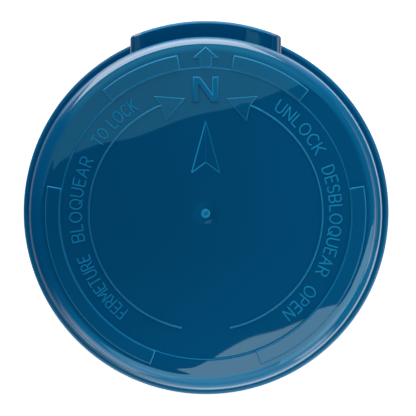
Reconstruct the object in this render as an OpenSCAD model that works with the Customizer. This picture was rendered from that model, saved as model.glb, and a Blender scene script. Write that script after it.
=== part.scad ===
// Twist-lock photocell switch: a moulded drum that plugs into a street light's receptacle.
// Origin: centre of the mounting plane, which is the lower face of the gasket.
// +Z points up through the crown and +Y points north, out of the window.

/* [Cover] */
// Diameter of the drum at its top edge
drum_top_d = 78; // [75:0.2:84]
// Height of the cover from its foot to its crown
cover_h = 44.8; // [42:0.2:56]
// Draft of the drum's wall in degrees
drum_draft = 1.7; // [0.5:0.1:2]
// Thickness of the cover's walls
cover_wall = 2; // [1.6:0.1:2.4]
// Radius of curvature of the crowned top
crown_r = 600; // [400:10:1200]
// Rounding of the drum's top edge
top_edge_r = 2.2; // [1.2:0.1:2.6]
// How far the flange stands out from the foot of the drum
flange_out = 1.7; // [1:0.1:3]
// Height of the flange
flange_h = 5.4; // [5:0.1:8]
// Rounding of the flange's upper edge
flange_edge_r = 0.5; // [0.3:0.1:1.2]
// How far the foot reaches below the base plate
foot_skirt = 1.2; // [1:0.1:1.6]
// Number of snap nibs that hold the base plate
nib_count = 6; // [3:1:8]
// How far a snap nib reaches under the base plate
nib_reach = 0.5; // [0.3:0.1:0.6]

/* [Top relief] */
// Radius of the sunk middle field
field_r = 32.2; // [30:0.1:33]
// Depth of the middle field
field_step = 0.2; // [0.1:0.05:0.4]
// Radial width of the raised bars
bar_w = 3.3; // [2:0.1:4]
// Height of the bars and of the north arrow
bar_h = 0.4; // [0.2:0.05:0.6]
// Radius of the curved arrows' shafts
arrow_r = 25.8; // [23:0.1:28]
// Width of the curved arrows' shafts
arrow_shaft_w = 0.55; // [0.4:0.05:1]
// Height of the curved arrows
arrow_h = 0.3; // [0.2:0.05:0.5]
// Radius of the dimple round the moulding gate
gate_dimple_r = 4.2; // [3:0.1:6]

/* [Window] */
// Width of the window housing
housing_w = 33.6; // [30:0.2:36]
// How far the window housing stands out from the flange
housing_out = 0.8; // [0.2:0.1:2]
// Drop from the crown to the housing's ledge
housing_drop = 9; // [7:0.5:14]
// Width of the window
window_w = 25; // [18:0.5:27]
// Height of the window
window_h = 17; // [12:0.5:18]
// Height of the window's centre above the mounting plane
window_z = 23.5; // [22:0.5:25]
// Thickness of the lens
lens_t = 1.6; // [1.2:0.1:2]

/* [Base] */
// Thickness of the base plate
base_t = 3.2; // [2.6:0.1:4]
// Radius of the raised pad that carries the blades
pad_r = 21.5; // [21:0.1:22]
// Height of the pad above the mounting plane
pad_lift = 1; // [0.6:0.1:1.4]
// Outside diameter of the gasket
gasket_outer_d = 68; // [62:0.5:70]
// Inside diameter of the gasket
gasket_bore_d = 48; // [46:0.5:54]
// Thickness of the gasket
gasket_t = 3; // [2.6:0.1:4]
// Depth of the gasket's groove in the base plate
gasket_groove = 0.6; // [0.3:0.1:1]

/* [Blades] */
// Radius of the circle through the blades
blade_r = 16.7; // [15:0.1:18]
// Thickness of the blades
blade_t = 1.5; // [1.2:0.1:1.8]
// How far the blades reach below the mounting plane
blade_reach = 11.5; // [10:0.1:13]
// Height of the hooks at the blade tips
hook_h = 6; // [5:0.1:7]
// Width of the line and load blades at the hook
phase_blade_w = 9.6; // [8.4:0.1:10.4]
// Width of the neutral blade at the hook
neutral_blade_w = 12; // [10:0.1:13]
// Width of the hook beyond the neck
hook_w = 4.6; // [3.5:0.1:5]
// Radius of the rivets that hold the blades
rivet_r = 1.5; // [1.2:0.1:1.6]

/* [Circuit board] */
// Diameter of the circuit board
board_d = 62; // [58:0.5:64]
// Thickness of the circuit board
board_t = 1.6; // [1:0.1:2]
// Height of the posts that carry the board
post_h = 7.4; // [6.5:0.1:9]
// How far the posts stand in from the edge of the board
post_inset = 4; // [3.5:0.1:5]
// Radius of the board screws' shanks
screw_r = 1.1; // [0.9:0.05:1.3]
// Length of the board screws' shanks
screw_len = 7; // [5:0.5:8]
// Diameter of the photocell
cell_d = 12; // [9:0.5:12.5]
// Thickness of the photocell
cell_t = 2.4; // [1.8:0.1:3]

/* [Hidden] */
$fn = 96;

// Clearances between pieces that fit each other
slide_gap = 0.1;
seat_gap = 0.15;
lead_gap = 0.1;
// How far a cutting shape runs past the face that it cuts
over = 1;

// Levels above the mounting plane
base_z = gasket_t - gasket_groove;
base_top = base_z + base_t;
foot_z = base_z - foot_skirt;
flange_top = foot_z + flange_h;
crown_z = foot_z + cover_h;
ledge_z = crown_z - housing_drop;
board_z = base_top + post_h;
board_top = board_z + board_t;
tip_z = -blade_reach;
hook_top = tip_z + hook_h;

// The drum's wall and the places that follow from it
function drum_r(z) = drum_top_d / 2 + (crown_z - z) * tan(drum_draft);
flange_r = drum_r(foot_z) + flange_out;
housing_r = flange_r + housing_out;
ledge_w = 1;
seat_r = drum_r(base_top) - cover_wall + ledge_w;
base_r = seat_r - seat_gap;
rim_crown_r = crown_r + field_step;
crown_centre_z = crown_z - crown_r;
crown_sink = crown_r - sqrt(crown_r * crown_r - drum_top_d * drum_top_d / 4);
crown_floor = crown_z - crown_sink - cover_wall * 0.6;
mark_floor = crown_z - crown_sink - cover_wall * 0.4;
roof_z = crown_z - crown_sink - cover_wall;

// Centre of the top edge's rounding: it touches the crown and the drafted wall
edge_run = tan(drum_draft);
edge_wall_x = drum_top_d / 2 - top_edge_r / cos(drum_draft) + (crown_z - crown_centre_z) * edge_run;
edge_reach = rim_crown_r - top_edge_r;
edge_a = 1 + edge_run * edge_run;
edge_b = -edge_wall_x * edge_run;
edge_c = edge_wall_x * edge_wall_x - edge_reach * edge_reach;
edge_rise = (-edge_b + sqrt(edge_b * edge_b - edge_a * edge_c)) / edge_a;
edge_x = edge_wall_x - edge_rise * edge_run;
edge_z = crown_centre_z + edge_rise;

// The window housing is a pocket that the lens slides up into
pocket_half = housing_w / 2 - cover_wall;
pocket_r = housing_r - cover_wall;
pocket_top = ledge_z - cover_wall;
housing_corner_r = 1;
housing_edge_r = 0.6;
window_corner_r = 2;
lens_r = pocket_r - slide_gap;
lens_back_r = lens_r - lens_t;
rail_w = 1.6;
rail_t = 1.4;

// Snap nibs: how far each sinks into the wall, its width and the sector that they share
nib_sink = 0.3;
nib_deg = 10;
nib_spread_deg = 270;

// Raised marks on the top, as compass angles from north
bar_spans = [[10, 40], [80, 160]];
bar_inset = 0.15;
arrow_span = [22.4, 168];
arrow_tip_deg = 10;
arrow_root_deg = 1;
arrow_wing_deg = 24;
arrow_wing_out = 2.6;
arrow_wing_in = 3.6;
north_half = 2.95;
north_stem_half = 1.37;
north_tip_r = 36.9;
north_head_r = 34.3;
gate_r = 1;
gate_h = 0.25;
gate_dimple = 0.2;

// Blades, with the neutral one widest
blade_names = ["line", "load", "neutral"];
blade_degs = [0, 120, 240];
blade_in_r = blade_r - blade_t / 2;
blade_out_r = blade_r + blade_t / 2;
foot_reach = 6.6;
foot_out_r = blade_out_r + foot_reach;
foot_side = 1;
tip_chamfer = 0.45;
tip_corner = 1.2;
tail_w = 3;
tail_over = 1.4;
rivet_inset = 2.8;
rivet_place_r = blade_out_r + rivet_inset;
rivet_rim = 1.2;
rivet_head_r = rivet_r + rivet_rim;
rivet_head_h = 0.9;
rivet_upset_w = 0.8;
rivet_upset_h = 0.7;
rivet_flat_w = 0.2;

// Board posts and screws
post_degs = [60, 180, 300];
post_circle_r = board_d / 2 - post_inset;
post_r = 3;
screw_head_r = screw_r * 2.1;
screw_head_h = 1.6;
screw_cross = 3;
screw_cross_w = 0.5;
pilot_spare = 1;
pilot_depth = screw_len - board_t + pilot_spare;

// Parts on the board: each has its place and the size of its body
lead_r = 0.4;
lead_over = 1.6;
lead_root = 1;
axial_run = 1.8;
axial_edge = 0.3;
relay_at = [-9, 0];
relay_size = [19, 15.4, 15.6];
relay_edge = 0.8;
relay_pin_inset = 2;
varistor_at = [3, -17];
varistor_d = 15;
varistor_t = 4.6;
film_at = [7.5, 14];
film_size = [18, 8.4, 14.4];
film_edge = 0.6;
filter_at = [11.2, 2];
filter_d = 10;
filter_h = 16.5;
filter_edge = 0.5;
filter_crimp_z = 2.1;
filter_crimp = 0.5;
filter_vent_r = 3.5;
bridge_at = [10.4, -8.6];
bridge_d = 9;
bridge_h = 5.6;
bridge_edge = 0.8;
transistor_at = [-6, 13];
transistor_d = 5;
transistor_h = 4.8;
zener_at = [-7, -13.2];
zener_d = 2.7;
zener_len = 5.2;
zener_waist = 0.05;
dropper_at = [18.6, -10.5];
dropper_d = 4.4;
dropper_len = 11;
dropper_waist = 0.25;
resistor_places = [[-16, 13.4], [-20.4, 12.4], [-16.4, -13.2]];
resistor_d = 2.5;
resistor_len = 6.4;
resistor_waist = 0.2;
stand_off = 1;

// Photocell and its holder, at the north edge of the board
cell_z = window_z;
holder_inset = 3.6;
holder_back_y = board_d / 2 - holder_inset;
holder_t = 2;
holder_rim = 1.5;
holder_w = cell_d + 2 * holder_rim;
gusset_t = 1.2;
gusset_h = 9;
gusset_reach = 3;
cell_seat = 1;
cell_edge = 0.4;
cell_pitch = 5;
cell_lead_run = 1.6;
cell_lead_y = holder_back_y - cell_lead_run;
peg_r = 0.8;
peg_inset = 2;
peg_over = 0.6;

function pins_of(size, inset) = [for (sx = [-1, 1]) for (sy = [-1, 1])
    [sx * (size[0] / 2 - inset), sy * (size[1] / 2 - inset)]];
relay_pins = concat(pins_of(relay_size, relay_pin_inset), [[relay_size[0] / 2 - relay_pin_inset, 0]]);
varistor_pins = [[-3.75, 0], [3.75, 0]];
film_pins = [[-7.5, 0], [7.5, 0]];
filter_pins = [[-2.5, 0], [2.5, 0]];
bridge_pins = [[-2.5, -2.5], [2.5, -2.5], [-2.5, 2.5], [2.5, 2.5]];
transistor_pins = [[-1.8, 0], [0, 0], [1.8, 0]];
function axial_pins(len) = [[0, -len / 2 - axial_run], [0, len / 2 + axial_run]];
cell_pins = [[-cell_pitch / 2, cell_lead_y], [cell_pitch / 2, cell_lead_y]];
peg_places = [for (s = [-1, 1]) [s * (holder_w / 2 - peg_inset), holder_back_y + holder_t / 2]];

cover_blue = [0, 0.27, 0.42];
brass = [0.78, 0.62, 0.3];
tin = [0.75, 0.75, 0.77];

// Shapes that several pieces share

module turned(deg) {
    rotate([0, 0, deg]) children();
}

// A sector with compass angles from north, clockwise as seen from above
module north_sector(from, to) {
    rotate([0, 0, 90 - to]) rotate_extrude(angle = to - from, $fn = 360) children();
}

module rounded_box(size, r) {
    linear_extrude(size[2]) union() {
        square([size[0] - 2 * r, size[1]], center = true);
        square([size[0], size[1] - 2 * r], center = true);
        for (sx = [-1, 1]) for (sy = [-1, 1])
            translate([sx * (size[0] / 2 - r), sy * (size[1] / 2 - r)]) circle(r);
    }
}

// Half profile under the crown from one radius to another, raised by lift
module crown_profile(lift, from, to, floor = mark_floor) {
    intersection() {
        translate([0, crown_centre_z]) circle(crown_r + lift, $fn = 2880);
        translate([from, floor]) square([to - from, crown_z - floor + cover_wall]);
    }
}

// A flat outline raised on the top, its upper face following the crown
module raised(lift) {
    intersection() {
        translate([0, 0, roof_z]) linear_extrude(crown_z - roof_z + cover_wall) children();
        rotate_extrude($fn = 180) crown_profile(lift, 0, drum_top_d / 2);
    }
}

module pins_at(place, pins, top, r = lead_r) {
    for (p = pins) translate([place[0] + p[0], place[1] + p[1], board_z - lead_over])
        cylinder(r = r, h = top - board_z + lead_over, $fn = 24);
}

// Holes that a row of pins goes through
module holes_at(place, pins, r = lead_r + lead_gap) {
    for (p = pins) translate([place[0] + p[0], place[1] + p[1]]) circle(r, $fn = 24);
}

// An axial part's two wires: along Y out of the body, then down through the board
module axial_leads(place, d, len) {
    axis_z = board_top + stand_off + d / 2;
    for (s = [-1, 1]) translate([place[0], place[1], 0]) {
        translate([0, s * len / 2, axis_z]) rotate([-s * 90, 0, 0])
            cylinder(r = lead_r, h = axial_run, $fn = 24);
        translate([0, s * (len / 2 + axial_run), axis_z]) sphere(lead_r, $fn = 24);
        translate([0, s * (len / 2 + axial_run), board_z - lead_over])
            cylinder(r = lead_r, h = axis_z - board_z + lead_over, $fn = 24);
    }
}

// The cover

module drum_profile() {
    wall_x = edge_x + top_edge_r * cos(drum_draft);
    wall_z = edge_z + top_edge_r * sin(drum_draft);
    crown_x = edge_x * rim_crown_r / edge_reach;
    crown_top = crown_centre_z + edge_rise * rim_crown_r / edge_reach;
    polygon([
        [0, foot_z], [drum_r(foot_z), foot_z], [wall_x, wall_z], [edge_x, edge_z],
        [crown_x, crown_top], [crown_x, crown_floor], [0, crown_floor]
    ]);
    translate([edge_x, edge_z]) circle(top_edge_r);
    crown_profile(0, 0, field_r, crown_floor);
    crown_profile(field_step, field_r, crown_x, crown_floor);
}

module flange_profile() {
    inner = drum_r(foot_z) - cover_wall;
    translate([inner, foot_z]) square([flange_r - inner, flange_h - flange_edge_r]);
    translate([inner, foot_z]) square([flange_r - inner - flange_edge_r, flange_h]);
    translate([flange_r - flange_edge_r, flange_top - flange_edge_r]) circle(flange_edge_r);
}

module cavity_profile() {
    corner = top_edge_r - cover_wall / 4;
    polygon([
        [0, foot_z - over], [seat_r, foot_z - over], [seat_r, base_top], [seat_r - ledge_w, base_top],
        [drum_r(roof_z - corner) - cover_wall, roof_z - corner],
        [drum_r(roof_z) - cover_wall - corner, roof_z], [0, roof_z]
    ]);
}

module housing_plan(half, r, corner) {
    centre_y = sqrt(pow(r - corner, 2) - pow(half - corner, 2));
    intersection() {
        circle(r, $fn = 360);
        translate([-(half - corner), 0]) square([2 * (half - corner), r]);
    }
    translate([-half, 0]) square([2 * half, centre_y]);
    for (s = [-1, 1]) translate([s * (half - corner), centre_y]) circle(corner);
}

module housing_block() {
    intersection() {
        translate([0, 0, foot_z]) linear_extrude(ledge_z - foot_z)
            housing_plan(housing_w / 2, housing_r, housing_corner_r);
        rotate_extrude($fn = 360) {
            translate([drum_top_d / 4, foot_z])
                square([housing_r - drum_top_d / 4, ledge_z - foot_z - housing_edge_r]);
            translate([drum_top_d / 4, foot_z])
                square([housing_r - drum_top_d / 4 - housing_edge_r, ledge_z - foot_z]);
            translate([housing_r - housing_edge_r, ledge_z - housing_edge_r]) circle(housing_edge_r);
        }
    }
}

module pocket() {
    translate([0, 0, foot_z - over]) linear_extrude(pocket_top - foot_z + over) intersection() {
        circle(pocket_r, $fn = 360);
        translate([-pocket_half, pad_r]) square([2 * pocket_half, housing_r]);
    }
}

module window_opening() {
    depth = housing_r - lens_back_r + over;
    translate([0, housing_r + over, window_z]) rotate([90, 0, 0])
        rounded_box([window_w, window_h, depth], window_corner_r);
}

// Two ribs behind the lens's edges keep it against the housing's face
module lens_rails() {
    rail_r = lens_back_r - slide_gap;
    for (s = [0, 1]) mirror([s, 0, 0]) translate([0, 0, base_top + seat_gap])
        linear_extrude(pocket_top - base_top - seat_gap + cover_wall / 2) intersection() {
            difference() {
                circle(rail_r, $fn = 360);
                circle(rail_r - rail_t, $fn = 360);
            }
            translate([pocket_half - rail_w, 0]) square([rail_w + cover_wall * 0.8, housing_r]);
        }
}

module snap_nibs() {
    nib_root = seat_r + nib_sink;
    nib_top = base_z - slide_gap;
    nib_foot = nib_top - foot_skirt * 0.7;
    for (i = [0 : nib_count - 1])
        turned(270 + (i - (nib_count - 1) / 2) * nib_spread_deg / nib_count - nib_deg / 2)
            rotate_extrude(angle = nib_deg, $fn = 360) polygon([
                [nib_root, nib_top], [seat_r - nib_reach, nib_top], [seat_r, nib_foot], [nib_root, nib_foot]
            ]);
}

module bars() {
    for (span = bar_spans) for (s = [0, 1]) mirror([s, 0, 0]) north_sector(span[0], span[1])
        crown_profile(field_step + bar_h, field_r + bar_inset, field_r + bar_inset + bar_w);
}

module north_arrow() {
    raised(field_step + bar_h) polygon([
        [0, north_tip_r], [north_half, north_head_r], [north_stem_half, north_head_r],
        [north_stem_half, field_r], [-north_stem_half, field_r], [-north_stem_half, north_head_r],
        [-north_half, north_head_r]
    ]);
}

function at_compass(r, deg) = [r * sin(deg), r * cos(deg)];

// A long curved shaft with a swept-back head: one shows the way to lock, its mirror the way to open
module turn_arrow() {
    raised(arrow_h) polygon([
        at_compass(arrow_r, arrow_tip_deg), at_compass(arrow_r + arrow_wing_out, arrow_wing_deg),
        at_compass(arrow_r, arrow_span[0]), at_compass(arrow_r - arrow_wing_in, arrow_wing_deg)
    ]);
    north_sector(arrow_span[0] - arrow_root_deg, arrow_span[1])
        crown_profile(arrow_h, arrow_r - arrow_shaft_w / 2, arrow_r + arrow_shaft_w / 2);
}

module gate_mark() {
    gate_top = crown_z - gate_dimple + gate_h;
    translate([0, 0, mark_floor]) cylinder(r = gate_r, h = gate_top - mark_floor, $fn = 48);
}

module gate_dimple() {
    ball = (gate_dimple_r * gate_dimple_r + gate_dimple * gate_dimple) / (2 * gate_dimple);
    rotate_extrude($fn = 96) intersection() {
        translate([0, crown_z - gate_dimple + ball]) circle(ball, $fn = 720);
        translate([0, crown_floor]) square([gate_dimple_r, crown_z - crown_floor + cover_wall / 2]);
    }
}

module cover() {
    color(cover_blue) {
        difference() {
            union() {
                difference() {
                    union() {
                        rotate_extrude($fn = 360) drum_profile();
                        rotate_extrude($fn = 360) flange_profile();
                        housing_block();
                    }
                    rotate_extrude($fn = 360) cavity_profile();
                    pocket();
                    window_opening();
                }
                lens_rails();
                snap_nibs();
                bars();
                north_arrow();
                for (s = [0, 1]) mirror([s, 0, 0]) turn_arrow();
            }
            gate_dimple();
        }
        gate_mark();
    }
}

module window_lens() {
    color([0.85, 0.9, 0.92, 0.4])
        translate([0, 0, base_top]) linear_extrude(pocket_top - base_top - seat_gap) intersection() {
            difference() {
                circle(lens_r, $fn = 360);
                circle(lens_back_r, $fn = 360);
            }
            translate([-pocket_half + slide_gap, 0]) square([2 * (pocket_half - slide_gap), housing_r]);
        }
}

// The base and what plugs in

module base_outline() {
    circle(base_r, $fn = 360);
    intersection() {
        circle(pocket_r - seat_gap, $fn = 360);
        translate([-pocket_half + seat_gap, 0]) square([2 * (pocket_half - seat_gap), housing_r]);
    }
}

function blade_w(name) = name == "neutral" ? neutral_blade_w : phase_blade_w;

module blade_slot(name) {
    neck = blade_w(name) - hook_w + 2 * slide_gap;
    intersection() {
        rotate_extrude($fn = 180) translate([blade_in_r - slide_gap, pad_lift - over])
            square([blade_t + 2 * slide_gap, base_top - pad_lift + 2 * over]);
        translate([0, -neck / 2, pad_lift - 2 * over])
            cube([foot_out_r, neck, base_top - pad_lift + 4 * over]);
    }
}

module rivet_hole() {
    translate([rivet_place_r, 0, pad_lift - over]) {
        cylinder(r = rivet_r + slide_gap, h = base_top - pad_lift + 2 * over);
        cylinder(r = rivet_head_r + slide_gap, h = rivet_head_h + over);
    }
}

module base_plate() {
    color([0.09, 0.09, 0.1]) difference() {
        union() {
            translate([0, 0, base_z]) linear_extrude(base_t) base_outline();
            translate([0, 0, pad_lift]) cylinder(r = pad_r, h = base_top - pad_lift, $fn = 180);
            for (deg = post_degs) turned(deg) translate([post_circle_r, 0, base_z + base_t / 2])
                cylinder(r = post_r, h = board_z - base_z - base_t / 2);
        }
        translate([0, 0, base_z - over]) linear_extrude(gasket_groove + over) difference() {
            circle(gasket_outer_d / 2 + slide_gap, $fn = 180);
            circle(gasket_bore_d / 2 - slide_gap, $fn = 180);
        }
        for (i = [0 : 2]) turned(blade_degs[i]) blade_slot(blade_names[i]);
        for (deg = blade_degs) turned(deg) rivet_hole();
        for (deg = post_degs) turned(deg) translate([post_circle_r, 0, board_z - pilot_depth])
            cylinder(r = screw_r + slide_gap, h = pilot_depth + over, $fn = 48);
    }
}

module gasket() {
    color([0.13, 0.13, 0.14]) linear_extrude(gasket_t) difference() {
        circle(gasket_outer_d / 2, $fn = 180);
        circle(gasket_bore_d / 2, $fn = 180);
    }
}

// Outline of the stamping before it is curved: neck above, hook below with a lead-in on its corners
module blade_outline(name) {
    end = (blade_w(name) - hook_w) / 2;
    lead = end - blade_w(name);
    polygon([
        [end, base_top + blade_t / 2], [end, tip_z + tip_corner], [end - tip_corner, tip_z],
        [lead + tip_corner, tip_z], [lead, tip_z + tip_corner], [lead, hook_top],
        [-end, hook_top], [-end, base_top + blade_t / 2]
    ]);
}

// A stamped and bent blade: hook, neck, riveted foot and the tail that is soldered to the board
module blade(name) {
    foot_w = blade_w(name) - hook_w + 2 * foot_side;
    color(brass) {
        intersection() {
            rotate_extrude($fn = 180) polygon([
                [blade_in_r, base_top + blade_t], [blade_in_r, tip_z + tip_chamfer],
                [blade_in_r + tip_chamfer, tip_z], [blade_out_r - tip_chamfer, tip_z],
                [blade_out_r, tip_z + tip_chamfer], [blade_out_r, base_top + blade_t]
            ]);
            rotate([90, 0, 90]) linear_extrude(foot_out_r) blade_outline(name);
        }
        translate([0, 0, base_top]) linear_extrude(blade_t) difference() {
            translate([0, -foot_w / 2]) square([foot_out_r, foot_w]);
            circle(blade_in_r, $fn = 180);
            translate([rivet_place_r, 0]) circle(rivet_r + slide_gap);
        }
        translate([foot_out_r - blade_t, -tail_w / 2, base_top + blade_t / 2])
            cube([blade_t, tail_w, board_top + tail_over - base_top - blade_t / 2]);
    }
}

module blade_rivets() {
    grip = base_top + blade_t - pad_lift;
    color(brass) for (deg = blade_degs) turned(deg) translate([rivet_place_r, 0, pad_lift]) {
        cylinder(r = rivet_head_r, h = rivet_head_h);
        cylinder(r = rivet_r, h = grip + rivet_upset_h);
        translate([0, 0, grip])
            cylinder(r1 = rivet_r + rivet_upset_w, r2 = rivet_r + rivet_flat_w, h = rivet_upset_h);
    }
}

// The circuit board and its parts

module circuit_board() {
    color([0.09, 0.3, 0.16]) translate([0, 0, board_z]) linear_extrude(board_t) difference() {
        circle(board_d / 2, $fn = 180);
        for (deg = post_degs) turned(deg)
            translate([post_circle_r, 0]) circle(screw_r + slide_gap, $fn = 48);
        for (deg = blade_degs) turned(deg)
            translate([foot_out_r - blade_t - seat_gap, -tail_w / 2 - seat_gap])
                square([blade_t + 2 * seat_gap, tail_w + 2 * seat_gap]);
        holes_at(relay_at, relay_pins);
        holes_at(varistor_at, varistor_pins);
        holes_at(film_at, film_pins);
        holes_at(filter_at, filter_pins);
        holes_at(bridge_at, bridge_pins);
        holes_at(transistor_at, transistor_pins);
        holes_at(zener_at, axial_pins(zener_len));
        holes_at(dropper_at, axial_pins(dropper_len));
        for (place = resistor_places) holes_at(place, axial_pins(resistor_len));
        holes_at([0, 0], cell_pins);
        holes_at([0, 0], peg_places, peg_r + lead_gap);
    }
}

module board_screws() {
    color(tin) for (deg = post_degs) turned(deg) translate([post_circle_r, 0, board_top]) {
        translate([0, 0, -screw_len]) cylinder(r = screw_r, h = screw_len + screw_head_h * 0.3, $fn = 48);
        difference() {
            cylinder(r1 = screw_head_r, r2 = screw_head_r * 0.8, h = screw_head_h, $fn = 48);
            for (turn = [0, 90]) rotate([0, 0, turn])
                translate([-screw_cross / 2, -screw_cross_w / 2, screw_head_h * 0.45])
                    cube([screw_cross, screw_cross_w, screw_head_h]);
        }
    }
}

module relay() {
    color([0.12, 0.2, 0.5]) {
        translate([relay_at[0], relay_at[1], board_top]) rounded_box(relay_size, relay_edge);
        pins_at(relay_at, relay_pins, board_top + lead_root);
    }
}

module surge_varistor() {
    centre_z = board_top + stand_off + varistor_d / 2;
    edge = varistor_t / 2;
    color([0.12, 0.25, 0.6]) {
        translate([varistor_at[0], varistor_at[1], centre_z]) rotate([90, 0, 0]) rotate_extrude() {
            translate([0, -edge]) square([varistor_d / 2 - edge, varistor_t]);
            intersection() {
                translate([varistor_d / 2 - edge, 0]) circle(edge);
                translate([0, -edge]) square([varistor_d, varistor_t]);
            }
        }
        pins_at(varistor_at, varistor_pins, centre_z - varistor_d / 4);
    }
}

module film_capacitor() {
    color([0.75, 0.6, 0.15]) {
        translate([film_at[0], film_at[1], board_top]) rounded_box(film_size, film_edge);
        pins_at(film_at, film_pins, board_top + lead_root);
    }
}

module filter_capacitor() {
    r = filter_d / 2;
    vent_z = filter_h - filter_edge / 2;
    color([0.1, 0.12, 0.2]) {
        translate([filter_at[0], filter_at[1], board_top]) rotate_extrude() polygon([
            [0, 0], [r - filter_edge, 0], [r, filter_edge], [r, filter_crimp_z - filter_crimp],
            [r - filter_crimp, filter_crimp_z], [r, filter_crimp_z + filter_crimp],
            [r, filter_h - filter_edge], [r - filter_edge, filter_h], [filter_vent_r, filter_h],
            [filter_vent_r, vent_z], [0, vent_z]
        ]);
        pins_at(filter_at, filter_pins, board_top + lead_root);
    }
}

module bridge_rectifier() {
    r = bridge_d / 2;
    color([0.1, 0.1, 0.1]) {
        translate([bridge_at[0], bridge_at[1], board_top + stand_off]) rotate_extrude() polygon([
            [0, 0], [r, 0], [r, bridge_h - bridge_edge], [r - bridge_edge, bridge_h], [0, bridge_h]
        ]);
        pins_at(bridge_at, bridge_pins, board_top + stand_off + lead_root);
    }
}

module transistor() {
    color([0.1, 0.1, 0.1]) {
        translate([transistor_at[0], transistor_at[1], board_top + 2 * stand_off])
            linear_extrude(transistor_h) intersection() {
                circle(transistor_d / 2);
                translate([-transistor_d / 2, -transistor_d / 4]) square([transistor_d, transistor_d]);
            }
        pins_at(transistor_at, transistor_pins, board_top + 2 * stand_off + lead_root, lead_r * 0.7);
    }
}

// A wire-ended body that lies along Y: its ends are a little fatter than its waist
module axial_body(place, d, len, waist) {
    cap = len * 0.22;
    translate([place[0], place[1] + len / 2, board_top + stand_off + d / 2]) rotate([90, 0, 0])
        rotate_extrude() polygon([
            [0, 0], [d / 2 - axial_edge, 0], [d / 2, axial_edge], [d / 2, cap],
            [d / 2 - waist, cap + waist], [d / 2 - waist, len - cap - waist], [d / 2, len - cap],
            [d / 2, len - axial_edge], [d / 2 - axial_edge, len], [0, len]
        ]);
}

module zener_diode() {
    color([0.15, 0.15, 0.15]) axial_body(zener_at, zener_d, zener_len, zener_waist);
}

module zener_leads() {
    color(tin) axial_leads(zener_at, zener_d, zener_len);
}

module dropper_resistor() {
    color([0.5, 0.52, 0.5]) axial_body(dropper_at, dropper_d, dropper_len, dropper_waist);
}

module dropper_leads() {
    color(tin) axial_leads(dropper_at, dropper_d, dropper_len);
}

module resistors() {
    color([0.76, 0.66, 0.48]) for (place = resistor_places)
        axial_body(place, resistor_d, resistor_len, resistor_waist);
}

module resistor_leads() {
    color(tin) for (place = resistor_places) axial_leads(place, resistor_d, resistor_len);
}

// An upright plate with a seat for the photocell, pegged into the board and facing the window
module photocell_holder() {
    holder_h = cell_z + cell_d / 2 + holder_rim - board_top;
    color([0.15, 0.15, 0.16]) {
        difference() {
            translate([-holder_w / 2, holder_back_y, board_top]) cube([holder_w, holder_t, holder_h]);
            translate([0, holder_back_y + holder_t - cell_seat, cell_z]) rotate([-90, 0, 0])
                cylinder(r = cell_d / 2 + slide_gap, h = holder_t);
            for (s = [-1, 1]) translate([s * cell_pitch / 2, holder_back_y - over, cell_z])
                rotate([-90, 0, 0]) cylinder(r = lead_r + lead_gap, h = holder_t + over, $fn = 24);
        }
        for (x = [-holder_w / 2, holder_w / 2 - gusset_t]) translate([x, holder_back_y, board_top])
            rotate([0, -90, 180]) linear_extrude(gusset_t)
                polygon([[0, 0], [gusset_h, 0], [0, gusset_reach]]);
        for (p = peg_places) translate([p[0], p[1], board_z - peg_over])
            cylinder(r = peg_r, h = board_t + peg_over + over, $fn = 32);
    }
}

module photocell() {
    r = cell_d / 2;
    color([0.8, 0.45, 0.3]) translate([0, holder_back_y + holder_t - cell_seat, cell_z]) rotate([-90, 0, 0])
        rotate_extrude() polygon([
            [0, 0], [r, 0], [r, cell_t - cell_edge], [r - cell_edge, cell_t], [0, cell_t]
        ]);
}

module photocell_leads() {
    back_y = holder_back_y + holder_t - cell_seat;
    color(tin) for (s = [-1, 1]) translate([s * cell_pitch / 2, 0, 0]) {
        translate([0, cell_lead_y, cell_z]) rotate([-90, 0, 0])
            cylinder(r = lead_r, h = back_y - cell_lead_y, $fn = 24);
        translate([0, cell_lead_y, cell_z]) sphere(lead_r, $fn = 24);
        translate([0, cell_lead_y, board_z - lead_over])
            cylinder(r = lead_r, h = cell_z - board_z + lead_over, $fn = 24);
    }
}

cover();
window_lens();
base_plate();
gasket();
turned(blade_degs[0]) blade("line");  // line_blade
turned(blade_degs[1]) blade("load");  // load_blade
turned(blade_degs[2]) blade("neutral");  // neutral_blade
blade_rivets();
circuit_board();
board_screws();
relay();
surge_varistor();
film_capacitor();
filter_capacitor();
bridge_rectifier();
transistor();
zener_diode();
zener_leads();
dropper_resistor();
dropper_leads();
resistors();
resistor_leads();
photocell_holder();
photocell();
photocell_leads();
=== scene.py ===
# %% [markdown]
# # Photocell switch
# A twist-lock photocell switch sits on top of a street light and turns it on at dusk. From above it
# is a round blue moulding with raised turning marks and a window housing on the north side. Below,
# three brass hooks plug into a receptacle. This lesson dresses the CAD model: it keeps the CAD
# pieces as the frame, makes a smooth cover with its fine relief, and gives every piece a material.

# %% Load the frame
import math

import bmesh
import bpy
from mathutils import Matrix, Vector


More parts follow.
